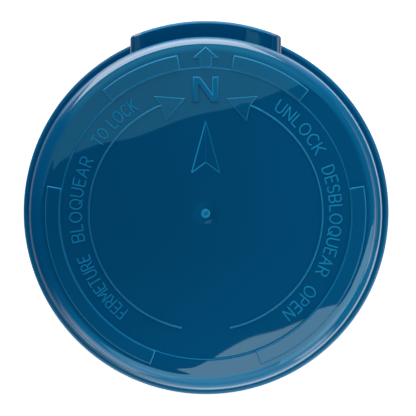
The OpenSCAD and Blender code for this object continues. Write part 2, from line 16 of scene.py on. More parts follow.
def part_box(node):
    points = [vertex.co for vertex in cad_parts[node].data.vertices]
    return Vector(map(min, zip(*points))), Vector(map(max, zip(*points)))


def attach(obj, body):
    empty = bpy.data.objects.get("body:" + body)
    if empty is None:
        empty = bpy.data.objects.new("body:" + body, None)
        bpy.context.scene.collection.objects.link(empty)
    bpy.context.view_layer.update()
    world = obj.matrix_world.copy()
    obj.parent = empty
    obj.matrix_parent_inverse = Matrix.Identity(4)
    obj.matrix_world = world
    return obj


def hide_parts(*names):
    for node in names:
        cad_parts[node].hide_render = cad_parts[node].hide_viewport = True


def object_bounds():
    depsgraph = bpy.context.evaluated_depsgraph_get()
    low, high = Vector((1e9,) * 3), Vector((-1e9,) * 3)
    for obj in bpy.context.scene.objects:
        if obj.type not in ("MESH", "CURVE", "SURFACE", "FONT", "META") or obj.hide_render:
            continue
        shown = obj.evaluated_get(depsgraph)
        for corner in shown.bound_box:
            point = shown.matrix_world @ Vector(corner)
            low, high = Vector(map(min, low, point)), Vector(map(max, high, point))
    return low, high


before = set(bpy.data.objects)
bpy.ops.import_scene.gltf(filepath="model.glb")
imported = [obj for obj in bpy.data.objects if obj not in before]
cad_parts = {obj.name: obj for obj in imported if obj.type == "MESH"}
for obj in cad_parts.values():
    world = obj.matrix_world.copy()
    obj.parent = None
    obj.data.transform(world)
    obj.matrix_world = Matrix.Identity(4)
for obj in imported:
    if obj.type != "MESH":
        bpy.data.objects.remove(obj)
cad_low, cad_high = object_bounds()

MM = 0.001
print("CAD nodes:", len(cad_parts))
print("CAD box, mm:", [round(v / MM, 2) for v in (*cad_low, *cad_high)])

# %% [markdown]
# ## Sizes of the cover
# Everything is in millimetres from the centre of the mounting plane, with north along +Y. The CAD
# cover could be dressed as it is, but its flat facets would break up every reflection, so a smooth
# cover is built in its place. Sizes that the frame knows are read from the CAD cover's box, so that
# the smooth cover can't outgrow it.

# %% Cover sizes
cover_low, cover_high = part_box("cover")
gate_proud = 0.05
foot_z = cover_low.z / MM
crown_z = cover_high.z / MM - gate_proud
flange_r = min(cover_high.x, -cover_low.y) / MM
housing_r = cover_high.y / MM
crown_ball_r = 600.0
drum_top_r = 39.0
draft = math.tan(math.radians(1.7))
wall = 2.0
edge_r = 2.2
flange_top = 6.6
flange_edge_r = 0.5
base_low, seat_top = 2.4, 5.6
seat_ledge = 1.0
field_r, field_step = 32.2, 0.2


def crown(radius, lift=0.0):
    """Height of the crowned top at a radius, on a ball that is lift larger."""
    return crown_z - crown_ball_r + math.sqrt((crown_ball_r + lift) ** 2 - radius**2)


wave_h = 0.010
sink_h, sink_r, sink_w = 0.003, 35.3, 0.6
waves = ((17.0, 24.0, 0.4), (11.5, 101.0, 2.1), (13.0, -38.0, 4.4))


def top_z(x, y):
    """Height of the crown with the faint waves that shrinking plastic leaves in a thin top, and a
    faint ring where it sinks towards the wall."""
    rise = 0.0
    for length, turn, phase in waves:
        a = math.radians(turn)
        rise += math.sin(math.tau * (x * math.cos(a) + y * math.sin(a)) / length + phase)
    radius = math.hypot(x, y)
    sink = sink_h * math.exp(-(((radius - sink_r) / sink_w) ** 2))
    return crown(radius) + wave_h * rise / len(waves) - sink


def drum_r(z):
    """Outer radius of the drafted drum at a height."""
    return drum_top_r + (crown_z - z) * draft


seat_r = drum_r(seat_top) - wall + seat_ledge
roof_z = crown(drum_top_r) - wall


def arc(centre, radius, start, end, steps):
    """Points on an arc in its own plane, angles in degrees, counter-clockwise from +X."""
    turn = [math.radians(start + (end - start) * k / steps) for k in range(steps + 1)]
    return [(centre[0] + radius * math.cos(a), centre[1] + radius * math.sin(a)) for a in turn]


def compass(radius, degrees):
    """Point at a radius and a bearing, clockwise from north as seen from above."""
    a = math.radians(degrees)
    return (radius * math.sin(a), radius * math.cos(a))


print("crown at", round(crown_z, 2), "mm, drum radius at the foot", round(drum_r(foot_z), 2), "mm")

# %% [markdown]
# ## Materials
# Moulded, stamped and coated surfaces all vary a little: in shade, in gloss and in height. Each
# material could have its own noise. Here one node group makes that variation from the object's own
# coordinates, and a material only says how much of it there is and at what scale. What stays
# constant is set on the shader itself.


# %% Surface variation group
def set_inputs(node, values):
    """Sets input sockets of a node by name."""
    for key, value in values.items():
        node.inputs[key].default_value = value


def add_sockets(group, in_out, kind, *names):
    """Adds sockets of one kind to a node group."""
    for name in names:
        group.interface.new_socket(name, in_out=in_out, socket_type="NodeSocket" + kind)


def colour_mix(nodes, blend="MIX"):
    """Mix node for colours: its factor, its two colours and the mixed colour."""
    node = nodes.new("ShaderNodeMix")
    node.data_type, node.blend_type = "RGBA", blend
    first, second = (s for s in node.inputs if s.type == "RGBA")
    return node.inputs[0], first, second, next(s for s in node.outputs if s.type == "RGBA")


def variation_group():
    """Shared node group: shade, roughness and height that vary over a surface."""
    group = bpy.data.node_groups.new("surface_variation", "ShaderNodeTree")
    add_sockets(group, "INPUT", "Color", "Colour", "Second Colour")
    add_sockets(group, "INPUT", "Vector", "Stretch")
    add_sockets(group, "INPUT", "Float", "Mottle Scale", "Rough Low", "Rough High")
    add_sockets(group, "INPUT", "Float", "Ripple", "Ripple Scale", "Grain", "Grain Scale")
    add_sockets(group, "OUTPUT", "Color", "Colour")
    add_sockets(group, "OUTPUT", "Float", "Roughness", "Height")
    nodes, link = group.nodes, group.links.new
    given, made = nodes.new("NodeGroupInput"), nodes.new("NodeGroupOutput")
    place, stretch = nodes.new("ShaderNodeTexCoord"), nodes.new("ShaderNodeVectorMath")
    stretch.operation = "MULTIPLY"
    link(place.outputs["Object"], stretch.inputs[0])
    link(given.outputs["Stretch"], stretch.inputs[1])

    def noise(scale_name, detail):
        node = nodes.new("ShaderNodeTexNoise")
        node.inputs["Detail"].default_value = detail
        link(stretch.outputs[0], node.inputs["Vector"])
        link(given.outputs[scale_name], node.inputs["Scale"])
        return node.outputs[0]

    def times(a, b):
        node = nodes.new("ShaderNodeMath")
        node.operation = "MULTIPLY"
        link(a, node.inputs[0])
        link(b, node.inputs[1])
        return node.outputs[0]

    mottle, ripple, grain = noise("Mottle Scale", 3), noise("Ripple Scale", 1), noise("Grain Scale", 2)
    amount, first, second, shade = colour_mix(nodes)
    link(mottle, amount)
    link(given.outputs["Colour"], first)
    link(given.outputs["Second Colour"], second)
    link(shade, made.inputs["Colour"])
    gloss = nodes.new("ShaderNodeMapRange")
    set_inputs(gloss, {"From Min": 0.25, "From Max": 0.75})
    link(grain, gloss.inputs["Value"])
    link(given.outputs["Rough Low"], gloss.inputs["To Min"])
    link(given.outputs["Rough High"], gloss.inputs["To Max"])
    link(gloss.outputs["Result"], made.inputs["Roughness"])
    height = nodes.new("ShaderNodeMath")
    link(times(ripple, given.outputs["Ripple"]), height.inputs[0])
    link(times(grain, given.outputs["Grain"]), height.inputs[1])
    link(height.outputs[0], made.inputs["Height"])
    return group


surface_variation = variation_group()
print("group made:", surface_variation.name)

# %% [markdown]
# ## The blue moulding
# The cover is glossy blue plastic, duller on some edges. Its edges are also painted paler, a painted
# highlight where lamps and reflections light them. A second material there would end in hard borders.
# Here the base is dull and a coat gives the gloss, and two numbers on each point of a piece say how
# much painted highlight it has and how much coat it has. The coat's index is well above a real
# plastic's, so that lamps at a plain level give reflections as strong as the photograph's.


# %% Material helper and moulded blue
def material(
    name,
    colours,
    rough,
    mottle=60.0,
    ripple=(0.0, 60.0),
    grain=(0.0, 1500.0),
    stretch=(1, 1, 1),
    fixed=None,
    rubbed=None,
):
    """Principled material. Two colours mix in patches of the mottle scale, rough is the lowest and
    the highest roughness, ripple and grain are a height and a scale, and fixed sets the shader's own
    sockets. A pale colour, if given, is a painted highlight: it is mixed in as far as each point's
    highlight attribute says, and the attribute polish is then the weight of the gloss coat."""
    made = bpy.data.materials.new(name)
    made.use_nodes = True
    nodes, link = made.node_tree.nodes, made.node_tree.links.new
    shader, surface = nodes["Principled BSDF"], nodes.new("ShaderNodeGroup")
    surface.node_tree = surface_variation
    set_inputs(surface, {"Colour": (*colours[0], 1), "Second Colour": (*colours[1], 1)})
    set_inputs(surface, {"Mottle Scale": mottle, "Stretch": stretch})
    set_inputs(surface, {"Rough Low": rough[0], "Rough High": rough[1]})
    set_inputs(surface, {"Ripple": ripple[0], "Ripple Scale": ripple[1]})
    set_inputs(surface, {"Grain": grain[0], "Grain Scale": grain[1]})
    set_inputs(shader, fixed or {})
    relief = nodes.new("ShaderNodeBump")
    relief.inputs["Distance"].default_value = MM
    colour = surface.outputs["Colour"]
    # A pale colour mixed in by the point's attribute: a painted highlight on edges and ridges.
    if rubbed:
        rub, polish = nodes.new("ShaderNodeAttribute"), nodes.new("ShaderNodeAttribute")
        rub.attribute_name, polish.attribute_name = "rub", "polish"
        amount, base_tone, highlit, mixed = colour_mix(nodes)
        link(rub.outputs["Fac"], amount)
        link(colour, base_tone)
        highlit.default_value = (*rubbed, 1)
        colour = mixed
        link(polish.outputs["Fac"], shader.inputs["Coat Weight"])
    link(colour, shader.inputs["Base Color"])
    link(surface.outputs["Roughness"], shader.inputs["Roughness"])
    link(surface.outputs["Height"], relief.inputs["Height"])
    link(relief.outputs["Normal"], shader.inputs["Normal"])
    return made


moulded_blue = material(
    "moulded_blue",
    ((0.0, 0.0855, 0.215), (0.0, 0.095, 0.238)),
    rough=(0.3, 0.4),
    mottle=35.0,
    ripple=(0.02, 55.0),
    grain=(0.0004, 1800.0),
    fixed={"Specular IOR Level": 0.0, "Coat IOR": 2.6, "Coat Roughness": 0.015},
    # pale cyan of the painted highlight
    rubbed=(0.014, 0.33, 0.62),
)
print("material made:", moulded_blue.name)

# %% [markdown]
# ## The drum
# The cover's main form is a body of revolution: crowned top with a small step, a rounded edge that
# touches both crown and wall, a drafted wall, and a flange round the foot. A real one is injection
# moulded, and the draft lets it leave the mould. A Screw modifier could turn its profile. Here code
# turns it, so that the crown can wave, each point can carry its painted highlight and gloss, and the
# wall can stay open behind the window.

# %% Drum profile
dimple_r, dimple_depth, dimple_steps = 2.7, 0.13, 6
dimple_ball = (dimple_r**2 + dimple_depth**2) / (2 * dimple_depth)
field_places = (2.9, 3.4, 4.0, 5.0, *range(6, 32))
step_soft = 0.12
rim_start, rim_steps = field_r + 2.5 * step_soft, 24
ease_start, ease_peak, ease_end, ease_tilt = 35.9, 36.9, 37.25, 0.085
wall_lean = math.atan(draft)
edge_steps, edge_halvings = 24, 60
cut_top = 35.0
wall_places = (28.0, 20.0, 12.0)
wall_foot_r = drum_r(flange_top)
root_r, foot_edge_r = 0.35, 0.3
roof_r = drum_r(roof_z) - wall
roof_corner = ((0.2, 0.6), (0.8, 0.0))
roof_ring_r = 20.0


def edge_arc():
    """Rounded edge that touches the crown's ball from inside and the drafted wall."""
    ball = crown_ball_r + field_step - edge_r
    low, high = field_r, drum_top_r
    for _ in range(edge_halvings):
        x = (low + high) / 2
        z = crown_z - crown_ball_r + math.sqrt(ball**2 - x**2)
        gap = (drum_r(z) - x) * math.cos(wall_lean)
        low, high = (x, high) if gap > edge_r else (low, x)
    lean = math.degrees(math.asin(x / ball))
    return arc((x, z), edge_r, 90 - lean, math.degrees(wall_lean), edge_steps)


def eased(r):
    """How far the crown rolls off before its rounded edge, so that the edge starts softly."""
    rise, fall = ease_peak - ease_start, ease_end - ease_peak
    rising = min(max(r - ease_start, 0), rise)
    falling = min(max(r - ease_peak, 0), fall)
    return ease_tilt * (rising**2 / (2 * rise) + falling - falling**2 / (2 * fall))


rounded = [(r, z - eased(r)) for r, z in edge_arc()]
crown_end = rounded[0][0]
profile = [(0.0, crown_z - dimple_depth)]
for r in (dimple_r * k / dimple_steps for k in range(1, dimple_steps)):
    profile.append((r, crown_z - dimple_depth + dimple_ball - math.sqrt(dimple_ball**2 - r**2)))
profile += [(r, crown(r)) for r in (*field_places, field_r - 2.5 * step_soft, field_r - step_soft)]
for way, share in ((-1, 0.2), (1, 0.8)):
    profile.append((field_r + way * step_soft / 3, crown(field_r) + share * field_step))
profile.append((field_r + step_soft, crown(field_r + step_soft, field_step)))
for r in (rim_start + (crown_end - rim_start) * k / rim_steps for k in range(rim_steps)):
    profile.append((r, crown(r, field_step) - eased(r)))
profile += rounded
outer_cut = len(profile)
profile += [(drum_r(z), z) for z in (cut_top, *wall_places)]
profile += arc((wall_foot_r + root_r, flange_top + root_r), root_r, 180, 270, 5)
profile += [((wall_foot_r + root_r + flange_r - flange_edge_r) / 2, flange_top)]
profile += arc((flange_r - flange_edge_r, flange_top - flange_edge_r), flange_edge_r, 90, 0, 8)
profile += arc((flange_r - foot_edge_r, foot_z + foot_edge_r), foot_edge_r, 0, -90, 4)
profile += [(seat_r, foot_z), (seat_r, seat_top), (drum_r(seat_top) - wall, seat_top)]
inner_cut = len(profile)
profile += [(drum_r(cut_top) - wall, cut_top)]
profile += [(roof_r - inward, roof_z - down) for inward, down in roof_corner]
profile += [(roof_ring_r, roof_z), (0.0, roof_z)]
print("drum profile:", len(profile), "points, rounded edge from radius", round(crown_end, 2), "mm")

# %% [markdown]
# ## Pale and dull zones of the drum
# The rounded edge, the small step and the flange's rim are paler and duller on some sides than on
# others. The paler blue is painted highlight, standing for the studio's light and reflections on those
# sides, so the zones are set to match the photograph, and stay on the piece in any light. One
# photograph can't tell how much of that is wear and how much is the studio's light, so the zones are
# set by hand to match it, and stay on the piece in any light. They could be painted on an image. Here
# they are worked out for each point, from its place on the profile and its bearing.

# %% Painted highlight and polish by place and bearing
# Bearing of the west side, in shade, where the painted highlights are least.
shade_bearing = 275
wall_polish = 0.15
south_spread = 0.6
# Painted highlight on the flange's rim, on its top and on the small step: more to the south, less in the
# west.
rim_rub, rim_rub_south, rim_rub_calm = 0.4, 0.45, 0.2
rim_polish, rim_polish_south = 0.15, 0.25
flange_rub = 0.6
step_rub, step_rub_calm, step_side_rub, step_polish = 0.85, 0.55, 0.7, 0.1
pale_start, pale_fade = 35.8, 0.9
turn_r, lip_r, lip_end, lip_south = 38.0, 38.68, 38.99, 0.15
early_turn, early_bearing, early_narrow = 0.6, 121, 30
skirt_polish, skirt_polish_more, skirt_bearing = 0.02, 0.15, -30


def between(stops, place):
    """Numbers at a place between stops, each a place with its own numbers."""
    for (a, *one), (b, *two) in zip(stops, stops[1:]):
        if a <= place <= b:
            return [u + (v - u) * (place - a) / (b - a) for u, v in zip(one, two)]


# Each stop is a bearing, then painted highlight and polish of the shoulder, of the turn and of the lip.
edge_highlight_gloss = (
    (-90, 0.0, 0.04, 0.0, 0.02, 0.0, 0.2),
    (-58, 0.12, 0.05, 0.12, 0.05, 0.2, 0.2),
    (-47, 0.3, 1.0, 0.3, 0.9, 0.6, 0.3),
    (-28, 0.35, 1.0, 0.3, 1.0, 0.7, 0.85),
    (-18, 0.4, 1.0, 0.3, 1.0, 0.8, 0.06),
    (6, 0.4, 1.0, 0.3, 1.0, 0.8, 0.06),
    (20, 0.4, 0.8, 0.3, 0.7, 0.5, 0.4),
    (30, 0.36, 0.5, 0.4, 0.45, 0.5, 1.0),
    (45, 0.3, 0.12, 0.45, 0.01, 0.5, 1.0),
    (70, 0.28, 0.3, 0.25, 0.01, 0.6, 1.0),
    (95, 0.25, 0.75, 0.2, 0.01, 0.6, 1.0),
    (104, 0.3, 1.0, 0.4, 0.01, 0.6, 1.0),
    (131, 0.35, 1.0, 0.4, 0.01, 0.5, 1.0),
    (138, 0.55, 0.8, 0.7, 0.45, 0.5, 1.0),
    (150, 0.65, 0.5, 0.75, 0.4, 0.6, 1.0),
    (180, 0.8, 0.4, 0.9, 0.35, 0.9, 1.0),
    (212, 0.6, 0.43, 0.6, 0.8, 0.4, 0.06),
    (225, 0.45, 0.45, 0.5, 1.0, 0.3, 0.04),
    (238, 0.15, 0.15, 0.2, 0.35, 0.2, 0.15),
    (250, 0.0, 0.04, 0.0, 0.02, 0.1, 0.2),
    (270, 0.0, 0.04, 0.0, 0.02, 0.0, 0.2),
)


def toward(bearing, middle):
    """How much a bearing lies towards another: 1 at it, 0 from a quarter turn away."""
    return max(0, math.cos(math.radians(bearing - middle)))


def drum_highlight_gloss(r, z, bearing):
    """Painted highlight and polish of a point. The small step and the flange's rim get a paler painted
    highlight and less polish, with the least highlight on the shaded west side, and the flange's top is
    painted paler towards the south. On the rounded edge both follow the table of stops above, which has
    painted highlight and polish of its shoulder, of its turn and of its lip at some bearings."""
    in_shade, south = toward(bearing, shade_bearing), toward(bearing, 180)
    if z < flange_top + edge_r:
        spread = south**south_spread
        if r > flange_r - 1.1 * flange_edge_r and z > flange_top - 2 * flange_edge_r:
            rub = rim_rub + rim_rub_south * spread - rim_rub_calm * in_shade
            return rub, rim_polish + rim_polish_south * spread
        return (flange_rub * spread, wall_polish) if r > wall_foot_r + 1.5 * root_r else (0.0, 0.0)
    if z < crown_z - edge_r - field_step:
        return 0.0, wall_polish
    off_step, north = abs(r - field_r), toward(bearing, 0) ** 2
    if off_step < 1.2 * step_soft:
        rub = step_rub - step_rub_calm * in_shade if off_step < step_soft / 2 else step_side_rub * north
        return rub, step_polish * north
    shift = lip_south * south
    if r > lip_end - shift / 3:
        return 0.0, skirt_polish + skirt_polish_more * toward(bearing, skirt_bearing)
    early = early_turn * toward(bearing, early_bearing) ** early_narrow
    zone = (r > turn_r - shift - early) + (r > lip_r - shift)
    rub, polish = between(edge_highlight_gloss, (bearing + 90) % 360 - 90)[2 * zone : 2 * zone + 2]
    ramp = min(1, max(0, (r - pale_start) / pale_fade))
    return ramp * rub, 1 - ramp * (1 - polish)


print("rub and polish of the southern lip:", drum_highlight_gloss(lip_r, crown_z, 180))

# %% Turned drum
weld, sharp_from = 1e-7, 35.0
cut_half, turn_step = 22.5, 1.25


def linked(name, data):
    """New object at the origin of the scene."""
    made = bpy.data.objects.new(name, data)
    bpy.context.scene.collection.objects.link(made)
    return made


def set_values(mesh, **values):
    """Stores lists of numbers, one for each point, which the material reads by name."""
    for key, numbers in values.items():
        mesh.attributes.new(key, "FLOAT", "POINT").data.foreach_set("value", numbers)


def shaded(mesh, sharp=sharp_from):
    """Shades a mesh smooth apart from edges over the sharp angle."""
    mesh.shade_smooth()
    mesh.set_sharp_from_angle(angle=math.radians(sharp))
    return mesh


def cleaned(mesh, reach, flat=None):
    """Welds points within reach, joins faces that meet at less than the angle flat, and turns
    faces outward."""
    work = bmesh.new()
    work.from_mesh(mesh)
    bmesh.ops.remove_doubles(work, verts=work.verts, dist=reach)
    if flat:
        bmesh.ops.dissolve_limit(work, angle_limit=flat, verts=work.verts, edges=work.edges)
    bmesh.ops.recalc_face_normals(work, faces=work.faces)
    work.to_mesh(mesh)
    work.free()
    return mesh


def new_mesh(name, points, faces, sharp=sharp_from, **values):
    """Mesh from points in mm, with values for each point."""
    mesh = bpy.data.meshes.new(name)
    mesh.from_pydata([(x * MM, y * MM, z * MM) for x, y, z in points], [], faces)
    set_values(mesh, **values)
    return shaded(cleaned(mesh, weld), sharp)


def on_body(made, slot, *nodes):
    """Lets a piece ride on the one body, and stand for CAD nodes if any are named."""
    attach(made, "root")
    if nodes:
        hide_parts(*nodes)
    return made


def add_piece(name, mesh, finish, slot, *nodes):
    """Piece with one material, on the body."""
    mesh.materials.clear()
    mesh.materials.append(finish)
    return on_body(linked(name, mesh), slot, *nodes)


def turned_drum():
    """Turns the profile, leaving the wall open behind the window."""
    turns = round(360 / turn_step)
    points, faces, highlight_gloss = [], [], []
    for k in range(turns):
        for r, z in profile:
            x, y = compass(r, k * turn_step)
            wave = top_z(x, y) - crown(r) if z > crown_z - edge_r else 0.0
            points.append((x, y, z + wave))
            highlight_gloss.append(drum_highlight_gloss(r, z, k * turn_step))
    half = round(cut_half / turn_step)
    for k in range(turns):
        here, there = k * len(profile), (k + 1) % turns * len(profile)
        opened = k < half or k >= turns - half
        for j in range(len(profile) - 1):
            if not (opened and outer_cut <= j < inner_cut):
                faces.append((here + j, there + j, there + j + 1, here + j + 1))
        if opened:
            faces.append((here + outer_cut, there + outer_cut, there + inner_cut, here + inner_cut))
    for k in (half, turns - half):
        faces.append([k * len(profile) + j for j in range(outer_cut, inner_cut + 1)])
    rub, polish = zip(*highlight_gloss)
    return new_mesh("drum", points, faces, rub=rub, polish=polish)


drum = add_piece("cover_drum", turned_drum(), moulded_blue, "cover_blue", "cover")
print("drum:", round(360 / turn_step), "turns,", len(drum.data.polygons), "faces")

# %% [markdown]
# ## The window housing
# On the north side a flat-topped housing stands out from the drum and holds the window. Its plan is
# two straight sides and a round front, with small rounded corners. A box could be bent and bevelled
# to this form. Here the outline itself is stacked, set in towards the top for the rounded upper edge,
# because its corners then stay true, and Boolean cuts open the pocket and the window.

# %% Housing outline
housing_half, housing_top = 16.8, 37.0
housing_corner_r, housing_edge_r, housing_side_ease = 1.0, 0.65, 2.4
corner_steps, front_steps = 6, 72
back_r = drum_r(cut_top) - wall / 2


def housing_outline(inset, ease=1.0):
    """Plan of the housing, set in by inset, and by ease times that at the sides: east side, front,
    west side, then back along the drum with a point behind each point before."""
    half, front = housing_half - ease * inset, housing_r - inset
    corner = housing_corner_r - inset
    centre = (half - corner, math.sqrt((front - corner) ** 2 - (half - corner) ** 2))
    lean = math.degrees(math.atan2(centre[1], centre[0]))
    east = arc(centre, corner, 0, lean, corner_steps)
    front_arc = arc((0, 0), front, lean, 180 - lean, front_steps)[1:-1]
    west = [(-x, y) for x, y in reversed(east)]
    chain = east + front_arc + west
    return chain + [(x, math.sqrt(back_r**2 - x * x)) for x, y in reversed(chain)]


def side_faces(count, rings):
    """Quads between rings of points that follow each other."""
    faces = []
    for k in range(rings - 1):
        for j in range(count):
            a, b = k * count + j, k * count + (j + 1) % count
            faces.append((a, b, b + count, a + count))
    return faces


def strip_faces(first, count):
    """Quads across an outline that goes out along one side and back along the other."""
    last = first + count - 1
    return [(first + j, first + j + 1, last - j - 1, last - j) for j in range(count // 2 - 1)]


def capped(points, count):
    """Closed mesh data from rings of points, count to a ring."""
    caps = [list(range(count)), list(range(len(points) - count, len(points)))]
    return points, side_faces(count, len(points) // count) + caps


def stacked(layers):
    """Closed mesh data from outlines with equal counts, each at its height."""
    return capped([(x, y, z) for outline, z in layers for x, y in outline], len(layers[0][0]))


foot_gap, foot_inset, foot_rise = 0.05, 0.25, 0.3
housing_places = (10.0, 20.0, 30.0, housing_top - 1.5 * housing_edge_r)
housing_edge_steps, ledge_inset = 6, 0.12
ledge_rise = ((-17, 0.16), (-14.6, 0.16), (-14.0, 0), (8.6, 0), (9.6, 0.15), (12.3, 0.18), (12.7, 0))
ledge_rise += ((14.8, 0), (15.1, 0.18), (17, 0.18))
layers = [(housing_outline(foot_inset), foot_z + foot_gap), (housing_outline(0.0), foot_z + foot_rise)]
layers += [(housing_outline(0.0), z) for z in housing_places]
for a in (math.radians(90 * k / housing_edge_steps) for k in range(housing_edge_steps + 1)):
    plan = housing_outline(housing_edge_r * (1 - math.cos(a)), housing_side_ease)
    layers.append((plan, housing_top - housing_edge_r * (1 - math.sin(a))))
layers.append((housing_outline(housing_edge_r + ledge_inset, housing_side_ease), housing_top))
housing_points, housing_faces = stacked(layers)
plan_count = len(layers[0][0])
ledge = len(housing_points) - plan_count
for k in range(ledge + plan_count // 2, len(housing_points)):
    x, y, z = housing_points[k]
    housing_points[k] = (x, y, z + between(ledge_rise, x)[0])
housing_faces[-1:] = strip_faces(ledge, plan_count)
print("housing blank:", len(layers), "layers of", plan_count, "points")

# %% Pocket and window
pocket_half, pocket_r, pocket_back = housing_half - wall, housing_r - wall, 30.0
pocket_steps, pocket_below, pocket_gap = 30, 1, 0.02
window_w, window_h, window_z, window_corner_r = 25.0, 17.0, 23.5, 2.0
window_back, window_front = 36.0, 46.0


def blank(name, points, faces):
    """Object to cut, or to cut with."""
    return linked(name, new_mesh(name, points, faces))


def plain_mesh(made):
    """Replaces an object's mesh by what its modifiers make of it, and removes them."""
    graph = bpy.context.evaluated_depsgraph_get()
    mesh = bpy.data.meshes.new_from_object(made.evaluated_get(graph))
    made.modifiers.clear()
    made.data = mesh


housing = blank("window_housing", housing_points, housing_faces)
pocket_lean = math.degrees(math.acos(pocket_half / pocket_r))
pocket_plan = [(pocket_half, pocket_back)]
pocket_plan += arc((0, 0), pocket_r, pocket_lean, 180 - pocket_lean, pocket_steps)
pocket_plan += [(-pocket_half, pocket_back)]
pocket_layers = [(pocket_plan, foot_z - pocket_below), (pocket_plan, cut_top - pocket_gap)]
pocket = blank("pocket_cutter", *stacked(pocket_layers))
opening = []
for east, up, start in ((1, 1, 0), (-1, 1, 90), (-1, -1, 180), (1, -1, 270)):
    corner_x = east * (window_w / 2 - window_corner_r)
    corner_z = window_z + up * (window_h / 2 - window_corner_r)
    opening += arc((corner_x, corner_z), window_corner_r, start, start + 90, corner_steps)
window_points, window_faces = stacked([(opening, -window_back), (opening, -window_front)])
window = blank("window_cutter", [(x, -z, y) for x, y, z in window_points], window_faces)
for tool in (pocket, window):
    cut = housing.modifiers.new(tool.name, "BOOLEAN")
    cut.operation, cut.solver, cut.object = "DIFFERENCE", "EXACT", tool
plain_mesh(housing)
for tool in (pocket, window):
    bpy.data.objects.remove(tool)
print("housing:", len(housing.data.polygons), "faces")

# %% Painted highlight and polish of the housing
ledge_rub, ledge_edge_polish, ledge_polish, level_polish = 0.8, 0.1, 0.8, 0.3
level_gap = 0.01


def housing_highlight_gloss(x, below):
    """Painted highlight and polish at a depth below the ledge, which is polished most in its raised
    strips and has its front edge painted paler as a highlight."""
    if level_gap < below < housing_edge_r / 2 and abs(x) < housing_half - housing_side_ease:
        return ledge_rub, ledge_edge_polish
    if abs(below) < level_gap and not between(ledge_rise, x)[0]:
        return 0.0, level_polish
    return 0.0, ledge_polish if below < 0.9 * housing_edge_r else wall_polish


spots = [(p.co.x / MM, housing_top - p.co.z / MM) for p in housing.data.vertices]
housing_rub, housing_polish = zip(*(housing_highlight_gloss(x, below) for x, below in spots))
set_values(housing.data, rub=housing_rub, polish=housing_polish)
shaded(housing.data)
housing.data.materials.clear()
housing.data.materials.append(moulded_blue)
on_body(housing, "cover_blue", "cover")
# Points of the front edge that carry the painted highlight.
print("housing points with a rubbed edge:", sum(rub > 0 for rub in housing_rub))

# %% [markdown]
# ## Snap nibs and lens rails
# Six small nibs inside the foot hold the base plate, and a rail at each side of the window keeps the
# lens against the housing. They are moulded with the cover and share its material. They could be
# joined to the drum by Boolean. As closed forms sunk a little into the wall they look the same, and
# the drum's mesh stays clean.

# %% Nibs and rails
nib_count, nib_half_deg, nib_spacing, nib_steps = 6, 5, 45, 8
nib_reach, nib_sink, nib_h, nib_gap = 0.5, 0.3, 0.84, 0.1
nib_top = base_low - nib_gap
nib_section = [(seat_r + nib_sink, nib_top), (seat_r - nib_reach, nib_top)]
nib_section += [(seat_r, nib_top - nib_h), (seat_r + nib_sink, nib_top - nib_h)]
rail_outer, rail_t, rail_w, rail_pitch, rail_points = pocket_r - 1.8, 1.4, 1.6, 0.7, 5
rail_low, rail_high = seat_top + 0.15, cut_top + 1
rail_x = [pocket_half - rail_w + rail_pitch * k for k in range(rail_points)]
rail_plan = [(x, math.sqrt((rail_outer - rail_t) ** 2 - x * x)) for x in rail_x]
rail_plan += [(x, math.sqrt(rail_outer**2 - x * x)) for x in reversed(rail_x)]


def swept(section, bearings):
    """Closed mesh data from a section of radius and height, swept along bearings."""
    return capped([(*compass(r, b), z) for b in bearings for r, z in section], len(section))


def joined(parts):
    """One list of points and faces from several."""
    points, faces = [], []
    for some_points, some_faces in parts:
        faces += [[len(points) + j for j in face] for face in some_faces]
        points += some_points
    return points, faces


ribs = []
for k in range(nib_count):
    middle = 180 + (k - (nib_count - 1) / 2) * nib_spacing
    turn = [middle + nib_half_deg * (2 * j / nib_steps - 1) for j in range(nib_steps + 1)]
    ribs.append(swept(nib_section, turn))
for side in (1, -1):
    plan = [(side * x, y) for x, y in rail_plan]
    ribs.append(stacked([(plan, rail_low), (plan, rail_high)]))
rib_mesh = new_mesh("cover_ribs", *joined(ribs))
inner_ribs = add_piece("cover_ribs", rib_mesh, moulded_blue, "cover_blue", "cover")
print("nibs and rails:", len(ribs), "of them,", len(inner_ribs.data.polygons), "faces")

# %% [markdown]
# ## Raised marks on the crown
# Bars, arrows and the north letter are cut into the mould, so they stand proud with softened edges
# and their upper faces follow the crown. Flat plates with a bevel would leave the dome. Here each is
# an outline stacked in five layers, the upper ones set in a little, with every point at the height
# of the crown below it. Long marks are strips of quads, so that they bend with the dome.

# %% Raised outlines
mark_edge, mark_sink = 0.24, 0.1
# Painted highlight on the edges and ends of the marks, more in the north, less in the shaded west.
edge_polish, end_rub = 0.1, 0.95
edge_rub, edge_rub_north, edge_rub_calm = 0.6, 0.45, 0.25
face_shade = 0.9


def inset_outline(outline, inset):
    """Moves every side of a closed outline inwards."""
    area = sum(a[0] * b[1] - b[0] * a[1] for a, b in zip(outline, outline[1:] + outline[:1]))
    side = 1 if area > 0 else -1
    moved = []
    for k, point in enumerate(outline):
        before, after = outline[k - 1], outline[(k + 1) % len(outline)]
        one = Vector((before[1] - point[1], point[0] - before[0])).normalized() * side
        two = Vector((point[1] - after[1], after[0] - point[0])).normalized() * side
        shift = (one + two) * (inset / (1 + one.dot(two)))
        moved.append((point[0] + shift.x, point[1] + shift.y))
    return moved


